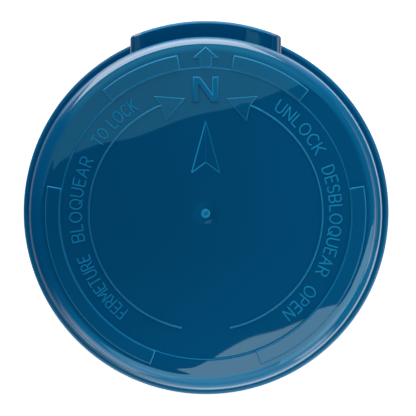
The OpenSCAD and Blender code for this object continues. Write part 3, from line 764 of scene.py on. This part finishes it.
def raised(outline, lift, strip=False, face=(0.07, 0.93), spread=0.25):
    """Raised mark on the crown: points and faces, with painted highlight and polish for each point. Edges
    have little polish, and get a pale painted highlight, most in the north and where they face outwards,
    least on the shaded west side: spread says how much their facing counts, and face is the painted
    highlight and polish of the upper face. A strip's outline goes out along one side and back along the
    other, and its ends get more painted highlight except in the north."""
    count = len(outline)
    ends = (0, count // 2 - 1, count // 2, count - 1) if strip else ()
    edge = min(mark_edge, lift / 2)
    steps = [(0.0, -mark_sink), (0.0, lift - edge), (0.5 * edge, lift - 0.3 * edge)]
    steps += [(edge, lift), (1.2 * edge, lift)]
    points, edge_pairs, face_pairs = [], [], []
    for inset, height in steps:
        points += [(x, y, top_z(x, y) + height) for x, y in inset_outline(outline, inset)]
    for j, ((x, y), (u, v)) in enumerate(zip(outline, inset_outline(outline, edge))):
        outward = Vector((x - u, y - v)).normalized().dot(Vector((x, y)).normalized())
        bearing = math.degrees(math.atan2(x, y))
        north, in_shade = toward(bearing, 0), toward(bearing, shade_bearing) ** 2
        place = edge_rub + edge_rub_north * north**2 - edge_rub_calm * in_shade
        highlit = max(0, 1 - spread + spread * outward) * place
        if j in ends:
            highlit = max(highlit, end_rub * (1 - north))
        edge_pairs.append((highlit, edge_polish))
        face_pairs.append((face[0] * (1 - face_shade * in_shade), face[1]))
    faces = side_faces(count, len(steps))
    for first in (0, (len(steps) - 1) * count):
        faces += strip_faces(first, count) if strip else [[first + j for j in range(count)]]
    return (points, faces), edge_pairs * (len(steps) - 1) + face_pairs


def band(inner, outer, start, end):
    """Outline of a curved strip between two radii and two bearings."""
    steps = max(2, round(abs(end - start)))
    turn = [start + (end - start) * k / steps for k in range(steps + 1)]
    return [compass(inner, a) for a in turn] + [compass(outer, a) for a in reversed(turn)]


print("edges of the marks:", mark_edge, "mm, sunk", mark_sink, "mm into the crown")

# %% Bars and turning arrows
bar_inner, bar_outer, bar_lift = 32.23, 35.5, 0.6
bar_spans = ((10, 40), (80, 160))
arrow_r, arrow_w, arrow_lift, arrow_span = 25.8, 0.45, 0.3, (22.4, 168)
# Painted highlight and polish of the shafts' upper faces.
shaft_face = (0.65, 0.2)
head_tip, head_base, head_notch = 10, 24, 1.6
head_out, head_in = 2.6, 3.6
marks = []
for side in (1, -1):
    marks += [raised(band(bar_inner, bar_outer, side * a, side * b), bar_lift, True) for a, b in bar_spans]
    shaft = band(arrow_r - arrow_w / 2, arrow_r + arrow_w / 2, side * arrow_span[0], side * arrow_span[1])
    marks.append(raised(shaft, arrow_lift, True, shaft_face))
    head = [compass(arrow_r, side * head_tip), compass(arrow_r + head_out, side * head_base)]
    head.append(compass(arrow_r, side * (head_base - head_notch)))
    head.append(compass(arrow_r - head_in, side * head_base))
    marks.append(raised(head, arrow_lift))
print("bars and arrows:", len(marks), "outlines")

# %% North arrow, letter and gate
north_tip, north_base, north_half, stem_half, stem_gap = 36.9, 34.3, 2.95, 1.37, 0.1
letter_low, letter_high, letter_half, letter_stroke = 24.5, 30.2, 2.83, 1.39
letter_lift, letter_face, letter_spread = 0.4, (0.22, 0.3), 0.85
slope_w, slope_end = 1.12 * letter_stroke, letter_low + 2.0
gate_r, gate_pit_r, gate_sides = 1.0, 0.5, 36
# The gate's ring is painted paler as a highlight, its pit less.
gate_rub, gate_pit_rub, gate_polish = 0.85, 0.4, 0.08
gate_steps = [(gate_r, -dimple_depth - mark_sink), (gate_r, -0.08), (gate_r - 0.12, 0.0)]
gate_steps += [(0.75, 0.02), (0.6, 0.0), (0.4, -0.08)]


def ring(radius, sides=36):
    """Points of a whole circle, from +X."""
    return arc((0, 0), radius, 0, 360, sides)[:-1]


north = [(0, north_tip), (north_half, north_base), (stem_half, north_base), (stem_half, field_r + stem_gap)]
north += [(-x, y) for x, y in reversed(north[1:])]
marks.append(raised(north, bar_lift))
letter = [(-letter_half, letter_low), (-letter_half, letter_high), (-letter_half + slope_w, letter_high)]
letter += [(letter_half - letter_stroke, slope_end), (letter_half - letter_stroke, letter_high)]
letter += [(-x, letter_low + letter_high - y) for x, y in letter]
marks.append(raised(letter, letter_lift, False, letter_face, letter_spread))
gate = stacked([(ring(r, gate_sides), crown_z + height) for r, height in gate_steps])
gate_highlight_gloss = []
for r, height in gate_steps:
    gate_highlight_gloss += [(gate_rub if r > gate_pit_r else gate_pit_rub, gate_polish)] * gate_sides
marks.append((gate, gate_highlight_gloss))
marks_sharp = 50
mark_rub, mark_polish = zip(*(pair for shape, highlight_gloss in marks for pair in highlight_gloss))
mark_shapes = joined([shape for shape, highlight_gloss in marks])
marks_mesh = new_mesh("raised_marks", *mark_shapes, marks_sharp, rub=mark_rub, polish=mark_polish)
raised_marks = add_piece("raised_marks", marks_mesh, moulded_blue, "cover_blue", "cover")
print("raised marks:", len(marks), "of them,", len(raised_marks.data.polygons), "faces")

# %% [markdown]
# ## Fine ridges: turning words and the compass needle
# Thin ridges follow a path, which suits Geometry Nodes: a tree turns strokes into half-sunk rods
# with round ends, and the result becomes a plain mesh. A text object could make the words, but would
# bring a typeface with it. Here the strokes come from a plain one-line alphabet, bent round the
# crown, and say how to turn the switch.


# %% Ridge tree
def ridge_tree():
    """Geometry Nodes tree: strokes become rods of a radius with round ends."""
    tree = bpy.data.node_groups.new("ridge_along_strokes", "GeometryNodeTree")
    add_sockets(tree, "INPUT", "Geometry", "Strokes")
    add_sockets(tree, "INPUT", "Float", "Radius")
    add_sockets(tree, "INPUT", "Int", "Sides")
    add_sockets(tree, "INPUT", "Material", "Material")
    add_sockets(tree, "OUTPUT", "Geometry", "Ridges")
    nodes, link = tree.nodes, tree.links.new
    given, made = nodes.new("NodeGroupInput"), nodes.new("NodeGroupOutput")
    path = nodes.new("GeometryNodeMeshToCurve")
    section = nodes.new("GeometryNodeCurvePrimitiveCircle")
    rod = nodes.new("GeometryNodeCurveToMesh")
    ends = nodes.new("GeometryNodeCurveEndpointSelection")
    ball = nodes.new("GeometryNodeMeshUVSphere")
    tips = nodes.new("GeometryNodeInstanceOnPoints")
    both = nodes.new("GeometryNodeJoinGeometry")
    smooth = nodes.new("GeometryNodeSetShadeSmooth")
    real = nodes.new("GeometryNodeRealizeInstances")
    paint = nodes.new("GeometryNodeSetMaterial")
    link(given.outputs["Strokes"], path.inputs["Mesh"])
    link(given.outputs["Sides"], section.inputs["Resolution"])
    link(given.outputs["Radius"], section.inputs["Radius"])
    link(path.outputs["Curve"], rod.inputs["Curve"])
    link(section.outputs["Curve"], rod.inputs["Profile Curve"])
    rod.inputs["Fill Caps"].default_value = True
    link(given.outputs["Sides"], ball.inputs["Segments"])
    ball.inputs["Rings"].default_value = 6
    link(given.outputs["Radius"], ball.inputs["Radius"])
    link(path.outputs["Curve"], tips.inputs["Points"])
    link(ends.outputs["Selection"], tips.inputs["Selection"])
    link(ball.outputs["Mesh"], tips.inputs["Instance"])
    link(rod.outputs["Mesh"], both.inputs[0])
    link(tips.outputs["Instances"], both.inputs[0])
    link(both.outputs["Geometry"], smooth.inputs["Geometry"])
    link(smooth.outputs["Geometry"], real.inputs["Geometry"])
    link(real.outputs["Geometry"], paint.inputs["Geometry"])
    link(given.outputs["Material"], paint.inputs["Material"])
    link(paint.outputs["Geometry"], made.inputs["Ridges"])
    return tree


strokes_to_ridges = ridge_tree()


def ridges(name, strokes, radius, finish, slot, *nodes, sides=10, rub=()):
    """Piece made of rods along strokes, each a list of points in mm. The painted highlight, if given,
    has a number for each stroke: how much paler it is painted there."""
    points = [Vector(p) * MM for stroke in strokes for p in stroke]
    edges, first = [], 0
    for stroke in strokes:
        edges += [(first + k, first + k + 1) for k in range(len(stroke) - 1)]
        first += len(stroke)
    mesh = bpy.data.meshes.new(name)
    mesh.from_pydata(points, edges, [])
    if rub:
        set_values(mesh, rub=[value for stroke, value in zip(strokes, rub) for _ in stroke])
    made = linked(name, mesh)
    tree = made.modifiers.new("ridges", "NODES")
    tree.node_group = strokes_to_ridges
    values = {"Radius": radius * MM, "Sides": sides, "Material": finish}
    for item in strokes_to_ridges.interface.items_tree:
        if item.in_out == "INPUT" and item.name in values:
            tree[item.identifier] = values[item.name]
    plain_mesh(made)
    return on_body(made, slot, *nodes)


print("tree made:", strokes_to_ridges.name, "with", len(strokes_to_ridges.nodes), "nodes")

# %% One-line alphabet
def bow(x, y, half_w, half_h, start, end, steps=8):
    """Part of an oval, for the round strokes of the alphabet."""
    turn = [math.radians(start + (end - start) * k / steps) for k in range(steps + 1)]
    return [(x + half_w * math.cos(a), y + half_h * math.sin(a)) for a in turn]


bowl = [(0, 0), (0, 1), (0.32, 1)] + bow(0.32, 0.74, 0.26, 0.26, 90, -90) + [(0, 0.48)]
round_o = bow(0.4, 0.5, 0.4, 0.5, 0, 360, 20)
alphabet = {
    " ": (0.3, []),
    "A": (0.72, [[(0, 0), (0.36, 1), (0.72, 0)], [(0.13, 0.36), (0.59, 0.36)]]),
    "B": (0.6, [bowl, [(0.32, 0.48)] + bow(0.34, 0.24, 0.26, 0.24, 90, -90) + [(0, 0)]]),
    "C": (0.7, [bow(0.4, 0.5, 0.4, 0.5, 48, 312, 14)]),
    "D": (0.64, [[(0, 0), (0, 1), (0.24, 1)] + bow(0.24, 0.5, 0.4, 0.5, 90, -90, 12) + [(0, 0)]]),
    "E": (0.52, [[(0.52, 0), (0, 0), (0, 1), (0.52, 1)], [(0, 0.52), (0.44, 0.52)]]),
    "F": (0.52, [[(0, 0), (0, 1), (0.52, 1)], [(0, 0.52), (0.42, 0.52)]]),
    "K": (0.62, [[(0, 0), (0, 1)], [(0.58, 1), (0, 0.38)], [(0.18, 0.58), (0.62, 0)]]),
    "L": (0.5, [[(0, 1), (0, 0), (0.5, 0)]]),
    "M": (0.78, [[(0, 0), (0, 1), (0.39, 0.3), (0.78, 1), (0.78, 0)]]),
    "N": (0.64, [[(0, 0), (0, 1), (0.64, 0), (0.64, 1)]]),
    "O": (0.8, [round_o]),
    "P": (0.58, [bowl]),
    "Q": (0.8, [round_o, [(0.48, 0.28), (0.8, -0.04)]]),
    "R": (0.6, [bowl, [(0.3, 0.48), (0.6, 0)]]),
    "S": (0.58, [bow(0.29, 0.75, 0.27, 0.25, 35, 270) + bow(0.29, 0.25, 0.29, 0.25, 90, -145)]),
    "T": (0.62, [[(0, 1), (0.62, 1)], [(0.31, 1), (0.31, 0)]]),
    "U": (0.64, [[(0, 1), (0, 0.32)] + bow(0.32, 0.32, 0.32, 0.32, 180, 360) + [(0.64, 1)]]),
}
print("alphabet:", len(alphabet), "signs")

# %% Turning words
word_low, word_high = 27.4, 30.05
letter_gap = 0.28
ridge_r, ridge_lift = 0.19, 0.03
sharp_turn = math.radians(50)
# The strokes of the words are painted paler as a highlight, less towards the shaded west.
word_lit, word_shade, word_shade_bearing = 0.75, 0.3, 250
turning_words = (
    ("FERMETURE", -141, -109.5),
    ("BLOQUEAR", -102.5, -65),
    ("TO LOCK", -57.5, -33),
    ("UNLOCK", 33.5, 62),
    ("DESBLOQUEAR", 69, 118),
    ("OPEN", 125, 142),
)


def unpinched(shape):
    """Parts of a stroke between its sharp corners, where a single rod would be pinched."""
    parts = [shape[:2]]
    for a, b, c in zip(shape, shape[1:], shape[2:]):
        if (Vector(b) - Vector(a)).angle(Vector(c) - Vector(b), 0) > sharp_turn:
            parts.append([b])
        parts[-1].append(c)
    return parts


def word_strokes(word, start, end):
    """Strokes of a word bent round the crown, tops outward, filling the bearings given."""
    total = sum(alphabet[c][0] for c in word) + letter_gap * (len(word) - 1)
    strokes, left = [], 0.0
    for c in word:
        width, shapes = alphabet[c]
        for part in (part for shape in shapes for part in unpinched(shape)):
            bent = []
            for x, y in part:
                r = word_low + (word_high - word_low) * y
                bearing = start + (end - start) * (left + x) / total
                bent.append((*compass(r, bearing), crown(r) + ridge_lift))
            strokes.append(bent)
        left += width + letter_gap
    return strokes


words, word_rub = [], []
for word, start, end in turning_words:
    strokes = word_strokes(word, start, end)
    words += strokes
    word_rub += [word_lit - word_shade * toward(start, word_shade_bearing)] * len(strokes)
word_ridges = ridges("turning_words", words, ridge_r, moulded_blue, "cover_blue", "cover", rub=word_rub)
print("turning words:", len(words), "strokes,", len(word_ridges.data.polygons), "faces")

# %% Compass needle
needle_tip, needle_wing, needle_notch = (0, 20.3), (3.1, 9.0), (0, 11.3)
needle_path = [needle_tip, needle_wing, needle_notch, (-needle_wing[0], needle_wing[1]), needle_tip]
needle_r, needle_lift, fold_sink = 0.17, -0.07, 0.06
# Painted highlight on each stroke of the needle.
needle_rub = (0.3, 0.45, 0.8, 0.8, 0.15)
needle = []
for pair in zip(needle_path, needle_path[1:]):
    needle.append([(x, y, top_z(x, y) + needle_lift) for x, y in pair])
needle.append([(x, y, top_z(x, y) + needle_lift - fold_sink) for x, y in (needle_tip, needle_notch)])
pointer = ridges("compass_needle", needle, needle_r, moulded_blue, "cover_blue", "cover", rub=needle_rub)
print("compass needle:", len(needle), "strokes,", len(pointer.data.polygons), "faces")

# %% [markdown]
# ## The CAD pieces, finished
# The CAD solids are right in shape but have knife-sharp edges. They could be modelled again. A
# finished copy is enough: it joins each face, and a small bevel breaks the edges as tumbling,
# moulding or stamping does. The copy stands for its node.

# %% Base, gasket and blades
cad_weld, cad_flat = 1e-6, 0.01
bevel_steps, bevel_from = 2, math.radians(50)


def finished(node, edge, finish, slot):
    """Copy of a CAD node with whole faces and broken edges, which replaces the node."""
    mesh = shaded(cleaned(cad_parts[node].data.copy(), cad_weld, cad_flat))
    made = add_piece(node + "_finished", mesh, finish, slot, node)
    soft = made.modifiers.new("broken_edges", "BEVEL")
    soft.width, soft.segments = edge * MM, bevel_steps
    soft.limit_method, soft.angle_limit = "ANGLE", bevel_from


base_black = material(
    "base_black",
    ((0.012, 0.012, 0.013), (0.02, 0.02, 0.021)),
    rough=(0.42, 0.58),
    mottle=220.0,
    ripple=(0.01, 60.0),
    grain=(0.006, 2600.0),
)
sponge_rubber = material(
    "sponge_rubber",
    ((0.016, 0.016, 0.017), (0.035, 0.035, 0.036)),
    rough=(0.75, 0.95),
    mottle=900.0,
    ripple=(0.05, 300.0),
    grain=(0.08, 1400.0),
    fixed={"Specular IOR Level": 0.3},
)
stamped_brass = material(
    "stamped_brass",
    ((0.62, 0.40, 0.13), (0.50, 0.31, 0.10)),
    rough=(0.22, 0.36),
    mottle=160.0,
    ripple=(0.004, 400.0),
    grain=(0.002, 3500.0),
    stretch=(1.0, 1.0, 0.12),
    fixed={"Metallic": 1.0},
)
finished("base_plate", 0.25, base_black, "base_black")
finished("gasket", 0.3, sponge_rubber, "gasket_rubber")
for blade in ("line_blade", "load_blade", "neutral_blade"):
    finished(blade, 0.12, stamped_brass, "blade_brass")
finished("blade_rivets", 0.1, stamped_brass, "rivet_brass")

# %% [markdown]
# ## Lens and photocell
# Behind the window a clear polycarbonate plate keeps the rain out, and the photocell looks north
# through it. Its face is a ceramic disc with a cadmium sulphide track folded between two plated
# combs. A pattern in the material could draw the track, but it follows a path, so the ridge tree
# makes it too. The lens has a lower index than polycarbonate, to keep the cell plain to see.

# %% Lens, cell and holder
clear_lens = material(
    "clear_lens",
    ((0.90, 0.95, 0.97), (0.86, 0.92, 0.95)),
    rough=(0.03, 0.08),
    ripple=(0.01, 60.0),
    grain=(0.0004, 1500.0),
    fixed={"IOR": 1.3, "Transmission Weight": 1.0},
)
cell_ceramic = material(
    "cell_ceramic",
    ((0.62, 0.58, 0.52), (0.52, 0.47, 0.42)),
    rough=(0.25, 0.4),
    mottle=500.0,
    grain=(0.002, 1500.0),
    fixed={"Coat Weight": 0.6, "Coat Roughness": 0.1},
)
cell_track = material(
    "cell_track",
    ((0.50, 0.13, 0.04), (0.38, 0.08, 0.03)),
    rough=(0.35, 0.5),
    mottle=1200.0,
    grain=(0.003, 1500.0),
)
holder_black = material(
    "holder_black",
    ((0.014, 0.014, 0.015), (0.022, 0.022, 0.024)),
    rough=(0.4, 0.55),
    mottle=300.0,
    grain=(0.005, 2200.0),
)
finished("window_lens", 0.15, clear_lens, "clear_lens")
finished("photocell_holder", 0.2, holder_black, "holder_black")
finished("photocell", 0.15, cell_ceramic, "cell_ceramic")
cell_low, cell_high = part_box("photocell")
cell_z = (cell_low.z + cell_high.z) / 2 / MM
track_rows, track_half, track_pitch, track_r, track_sink = 9, 3.6, 0.85, 0.2, 0.05
track_y = cell_high.y / MM - track_sink
track = []
for k in range(track_rows):
    z = cell_z + (k - (track_rows - 1) / 2) * track_pitch
    reach = track_half if k % 2 == 0 else -track_half
    track += [(-reach, track_y, z), (reach, track_y, z)]
track_ridge = ridges("photocell_track", [track], track_r, cell_track, "cell_ceramic", sides=12)
print("photocell track:", track_rows, "rows,", len(track_ridge.data.polygons), "faces")

# %% [markdown]
# ## The circuit
# The board carries a mains relay and the parts that drive it. They only show through the window, so
# a single grey would nearly do, but each gets the coat that such a part has: lacquer, epoxy dip,
# shrink sleeve or tinned wire. The coats differ in colour and gloss alone, so one loop makes them.

# %% Board and parts
board_green = material(
    "board_green",
    ((0.006, 0.075, 0.026), (0.012, 0.12, 0.045)),
    rough=(0.3, 0.42),
    mottle=240.0,
    ripple=(0.02, 700.0),
    grain=(0.003, 1500.0),
)
plated_steel = material(
    "plated_steel",
    ((0.52, 0.52, 0.54), (0.40, 0.40, 0.43)),
    rough=(0.25, 0.4),
    mottle=500.0,
    grain=(0.002, 1500.0),
    fixed={"Metallic": 1.0},
)
coats = {
    "relay_case": ((0.010, 0.022, 0.15), (0.014, 0.03, 0.18), (0.25, 0.35)),
    "varistor_coat": ((0.010, 0.04, 0.26), (0.014, 0.055, 0.32), (0.2, 0.35)),
    "film_case": ((0.48, 0.26, 0.012), (0.54, 0.31, 0.02), (0.3, 0.42)),
    "filter_sleeve": ((0.005, 0.007, 0.022), (0.010, 0.013, 0.032), (0.2, 0.32)),
    "moulded_black": ((0.004, 0.004, 0.004), (0.010, 0.010, 0.010), (0.4, 0.55)),
    "dropper_coat": ((0.145, 0.17, 0.155), (0.19, 0.21, 0.20), (0.6, 0.75)),
    "resistor_coat": ((0.54, 0.37, 0.16), (0.60, 0.42, 0.19), (0.4, 0.5)),
}
coat_mottle, coat_ripple, coat_grain = 400.0, (0.01, 300.0), (0.003, 1500.0)
coated = {}
for slot, (*colours, rough) in coats.items():
    coated[slot] = material(slot, colours, rough, coat_mottle, coat_ripple, coat_grain)
dressed = {"circuit_board": (board_green, "board_green"), "board_screws": (plated_steel, "screw_steel")}
for node in ("zener_leads", "dropper_leads", "resistor_leads", "photocell_leads"):
    dressed[node] = (plated_steel, "tinned_wire")
for node, slot in (
    ("relay", "relay_case"),
    ("surge_varistor", "varistor_coat"),
    ("film_capacitor", "film_case"),
    ("filter_capacitor", "filter_sleeve"),
    ("bridge_rectifier", "moulded_black"),
    ("transistor", "moulded_black"),
    ("zener_diode", "moulded_black"),
    ("dropper_resistor", "dropper_coat"),
    ("resistors", "resistor_coat"),
):
    dressed[node] = (coated[slot], slot)
part_edge = 0.1
for node, (finish, slot) in dressed.items():
    finished(node, part_edge, finish, slot)
print("board and parts finished:", len(dressed))

# %% [markdown]
# ## The floor
# The switch lies on a plain white floor that keeps its shadow. A brighter lamp could whiten the floor,
# but would flood the blue as well, so the floor glows a little, only in what the camera, a reflection
# or the lens sees of it. From below it is clear, so that the hooks can be looked at.

# %% Floor
floor_z, floor_r, floor_glow = cad_low.z / MM, 2500.0, 0.72
floor_points = [(x, y, floor_z) for x, y in ring(floor_r)]
floor = linked("floor", new_mesh("floor", floor_points, [list(range(len(floor_points)))]))
floor_white = material("floor_white", ((0.93, 0.93, 0.93), (0.95, 0.95, 0.95)), rough=(0.8, 0.9))
floor_nodes, floor_link = floor_white.node_tree.nodes, floor_white.node_tree.links.new
floor_shader, rays = floor_nodes["Principled BSDF"], floor_nodes.new("ShaderNodeLightPath")
floor_shader.inputs["Emission Color"].default_value = (1, 1, 1, 1)
seen = None
for kind in ("Is Camera Ray", "Is Glossy Ray", "Is Transmission Ray"):
    most = floor_nodes.new("ShaderNodeMath")
    most.operation, most.use_clamp = "MULTIPLY_ADD", True
    floor_link(rays.outputs[kind], most.inputs[0])
    most.inputs[1].default_value, most.inputs[2].default_value = floor_glow, 0.0
    if seen:
        floor_link(seen, most.inputs[2])
    seen = most.outputs[0]
floor_link(seen, floor_shader.inputs["Emission Strength"])
underside = floor_nodes.new("ShaderNodeNewGeometry")
through = floor_nodes.new("ShaderNodeBsdfTransparent")
either = floor_nodes.new("ShaderNodeMixShader")
floor_link(underside.outputs["Backfacing"], either.inputs[0])
floor_link(floor_shader.outputs[0], either.inputs[1])
floor_link(through.outputs[0], either.inputs[2])
floor_link(either.outputs[0], floor_nodes["Material Output"].inputs["Surface"])
floor.data.materials.append(floor_white)
print("floor at", round(floor_z, 2), "mm")

# %% [markdown]
# ## Studio light
# A glossy moulding shows the room that it lies in. An image of a studio could light it. Here the sky
# is a ramp, bright low down and dark overhead, which keeps the middle of the crown deep blue, with a
# faint blue haze over the east and south. Softboxes round the switch light its edge, the one in the
# north for the bright band there, and level panels above make the pale fields on the crown. Places,
# sizes and tints were found by matching reflections, because the real studio isn't known.

# %% Sky
sky_low, sky_top, sky_top_at = (0.85, 0.85, 0.85, 1), (0.004, 0.004, 0.005, 1), 0.9
sky_between = ((0.2, 0.75), (0.5, 0.36))
west_dark, west_far, west_near = 0.15, -0.9, -0.2
haze_blue = (0.0, 0.085, 0.185, 1)
haze_edges = (("X", -0.12, 0.2), ("Y", -0.02, -0.2), ("Z", 0.7, 0.97))
world = bpy.data.worlds.new("studio")
bpy.context.scene.world = world
world.use_nodes = True
sky, sky_link = world.node_tree.nodes, world.node_tree.links.new
outward, parts = sky.new("ShaderNodeTexCoord"), sky.new("ShaderNodeSeparateXYZ")
sky_link(outward.outputs["Generated"], parts.inputs[0])
fade = sky.new("ShaderNodeValToRGB")
sky_link(parts.outputs["Z"], fade.inputs["Fac"])
stops = fade.color_ramp.elements
stops[0].position, stops[0].color = 0.0, sky_low
stops[1].position, stops[1].color = sky_top_at, sky_top
for height, level in sky_between:
    stops.new(height).color = (level, level, level, 1)
dim_west = sky.new("ShaderNodeMapRange")
set_inputs(dim_west, {"From Min": west_far, "From Max": west_near, "To Min": west_dark})
sky_link(parts.outputs["X"], dim_west.inputs["Value"])
over = {}
for axis, start, end in haze_edges:
    ease = sky.new("ShaderNodeMapRange")
    ease.interpolation_type = "SMOOTHSTEP"
    set_inputs(ease, {"From Min": start, "From Max": end})
    sky_link(parts.outputs[axis], ease.inputs["Value"])
    over[axis] = ease.outputs["Result"]
around, haze = sky.new("ShaderNodeMath"), sky.new("ShaderNodeMath")
around.use_clamp, haze.operation = True, "MULTIPLY"
sky_link(over["X"], around.inputs[0])
sky_link(over["Y"], around.inputs[1])
sky_link(around.outputs[0], haze.inputs[0])
sky_link(over["Z"], haze.inputs[1])
amount, clear, hazy, lit = colour_mix(sky, "ADD")
sky_link(haze.outputs[0], amount)
sky_link(fade.outputs["Color"], clear)
hazy.default_value = haze_blue
sky_link(lit, sky["Background"].inputs["Color"])
sky_link(dim_west.outputs["Result"], sky["Background"].inputs["Strength"])
print("sky:", len(stops), "levels")

# %% Lamps
north_turn, south_turn = math.radians(18), math.radians(21.5)
panel_height = 1.2
white, band_white = (1, 1, 1), (0.9, 0.97, 1.04)
deep_cyan, pale_cyan = (0.2, 0.84, 1.0), (0.55, 0.9, 1.0)
crown_spot = Vector((0, 0, crown_z * MM))


def area_lamp(name, width, height, radiance, tint):
    """Rectangular lamp, sizes in metres, that looks as bright as the radiance given."""
    lamp = bpy.data.lights.new(name, "AREA")
    lamp.shape, lamp.size, lamp.size_y = "RECTANGLE", width, height
    lamp.energy = radiance * math.pi * width * height
    lamp.color = tint
    return linked(name, lamp)


def softbox(name, bearing, elevation, distance, width, height, radiance, tint):
    """Lamp that faces the crown from a bearing and an elevation."""
    made = area_lamp(name, width, height, radiance, tint)
    up = math.radians(elevation)
    outward = Vector((*compass(math.cos(up), bearing), math.sin(up)))
    made.location = crown_spot + outward * distance
    made.rotation_euler = (-outward).to_track_quat("-Z", "Y").to_euler()


def ceiling_panel(name, turn, near, far, west, east, radiance, tint):
    """Level lamp over the crown. Its edges are slopes seen from the crown, turned west of north."""
    width, depth = (east - west) * panel_height, abs(far - near) * panel_height
    made = area_lamp(name, width, depth, radiance, tint)
    middle = Matrix.Rotation(turn, 3, "Z") @ Vector(((west + east) / 2, (near + far) / 2, 1))
    made.location = crown_spot + middle * panel_height
    made.rotation_euler = (0, 0, turn)


softbox("north_softbox", -13, 27, 0.8, 0.9, 0.92, 1.9, band_white)
softbox("southeast_softbox", 128, 26, 0.9, 0.6, 0.5, 1.4, white)
softbox("southwest_softbox", 220, 38, 0.9, 0.5, 0.6, 0.9, white)
softbox("east_softbox", 86, 54, 1.0, 0.7, 0.32, 0.8, white)
softbox("south_softbox", 180, 62, 1.0, 0.9, 0.35, 0.35, white)
ceiling_panel("north_ceiling", north_turn, 0.101, 0.4, -0.4, 0.3, 0.23, deep_cyan)
ceiling_panel("east_ceiling", south_turn, -0.152, -0.167, 0.14, 0.42, 0.95, pale_cyan)
ceiling_panel("southeast_ceiling", south_turn, -0.3, -0.39, 0.02, 0.32, 0.95, pale_cyan)
ceiling_panel("south_ceiling", south_turn, -0.167, -0.3, -0.3, 0.4, 0.72, pale_cyan)

# %% [markdown]
# ## Camera
# The switch is seen from straight above, from so far that the wall hardly shows. Turning angles would
# do, but the camera is aimed from its place to a point on the crown, with north up, so that each
# number has a plain meaning.

# %% Camera
frame_px, px_per_mm, sensor_w = 416, 4.536, 36.0
camera_up, camera_east, camera_north = 900.0, 2.3, 9.0
aim_x, aim_y = 0.52, 1.23
lens_data = bpy.data.cameras.new("camera")
lens_data.sensor_width = sensor_w
lens_data.lens = sensor_w * camera_up * px_per_mm / frame_px
lens_data.clip_start, lens_data.clip_end = 0.05, 10.0
camera = linked("camera", lens_data)
spot = Vector((camera_east, camera_north, crown_z + camera_up)) * MM
look = (spot - Vector((aim_x, aim_y, crown_z)) * MM).normalized()
right = Vector((0, 1, 0)).cross(look).normalized()
turned = Matrix((right, look.cross(right), look)).transposed().to_4x4()
camera.matrix_world = Matrix.Translation(spot) @ turned
bpy.context.scene.camera = camera
bpy.context.scene.view_settings.view_transform = "Standard"
print("camera lens, mm:", round(lens_data.lens, 1))
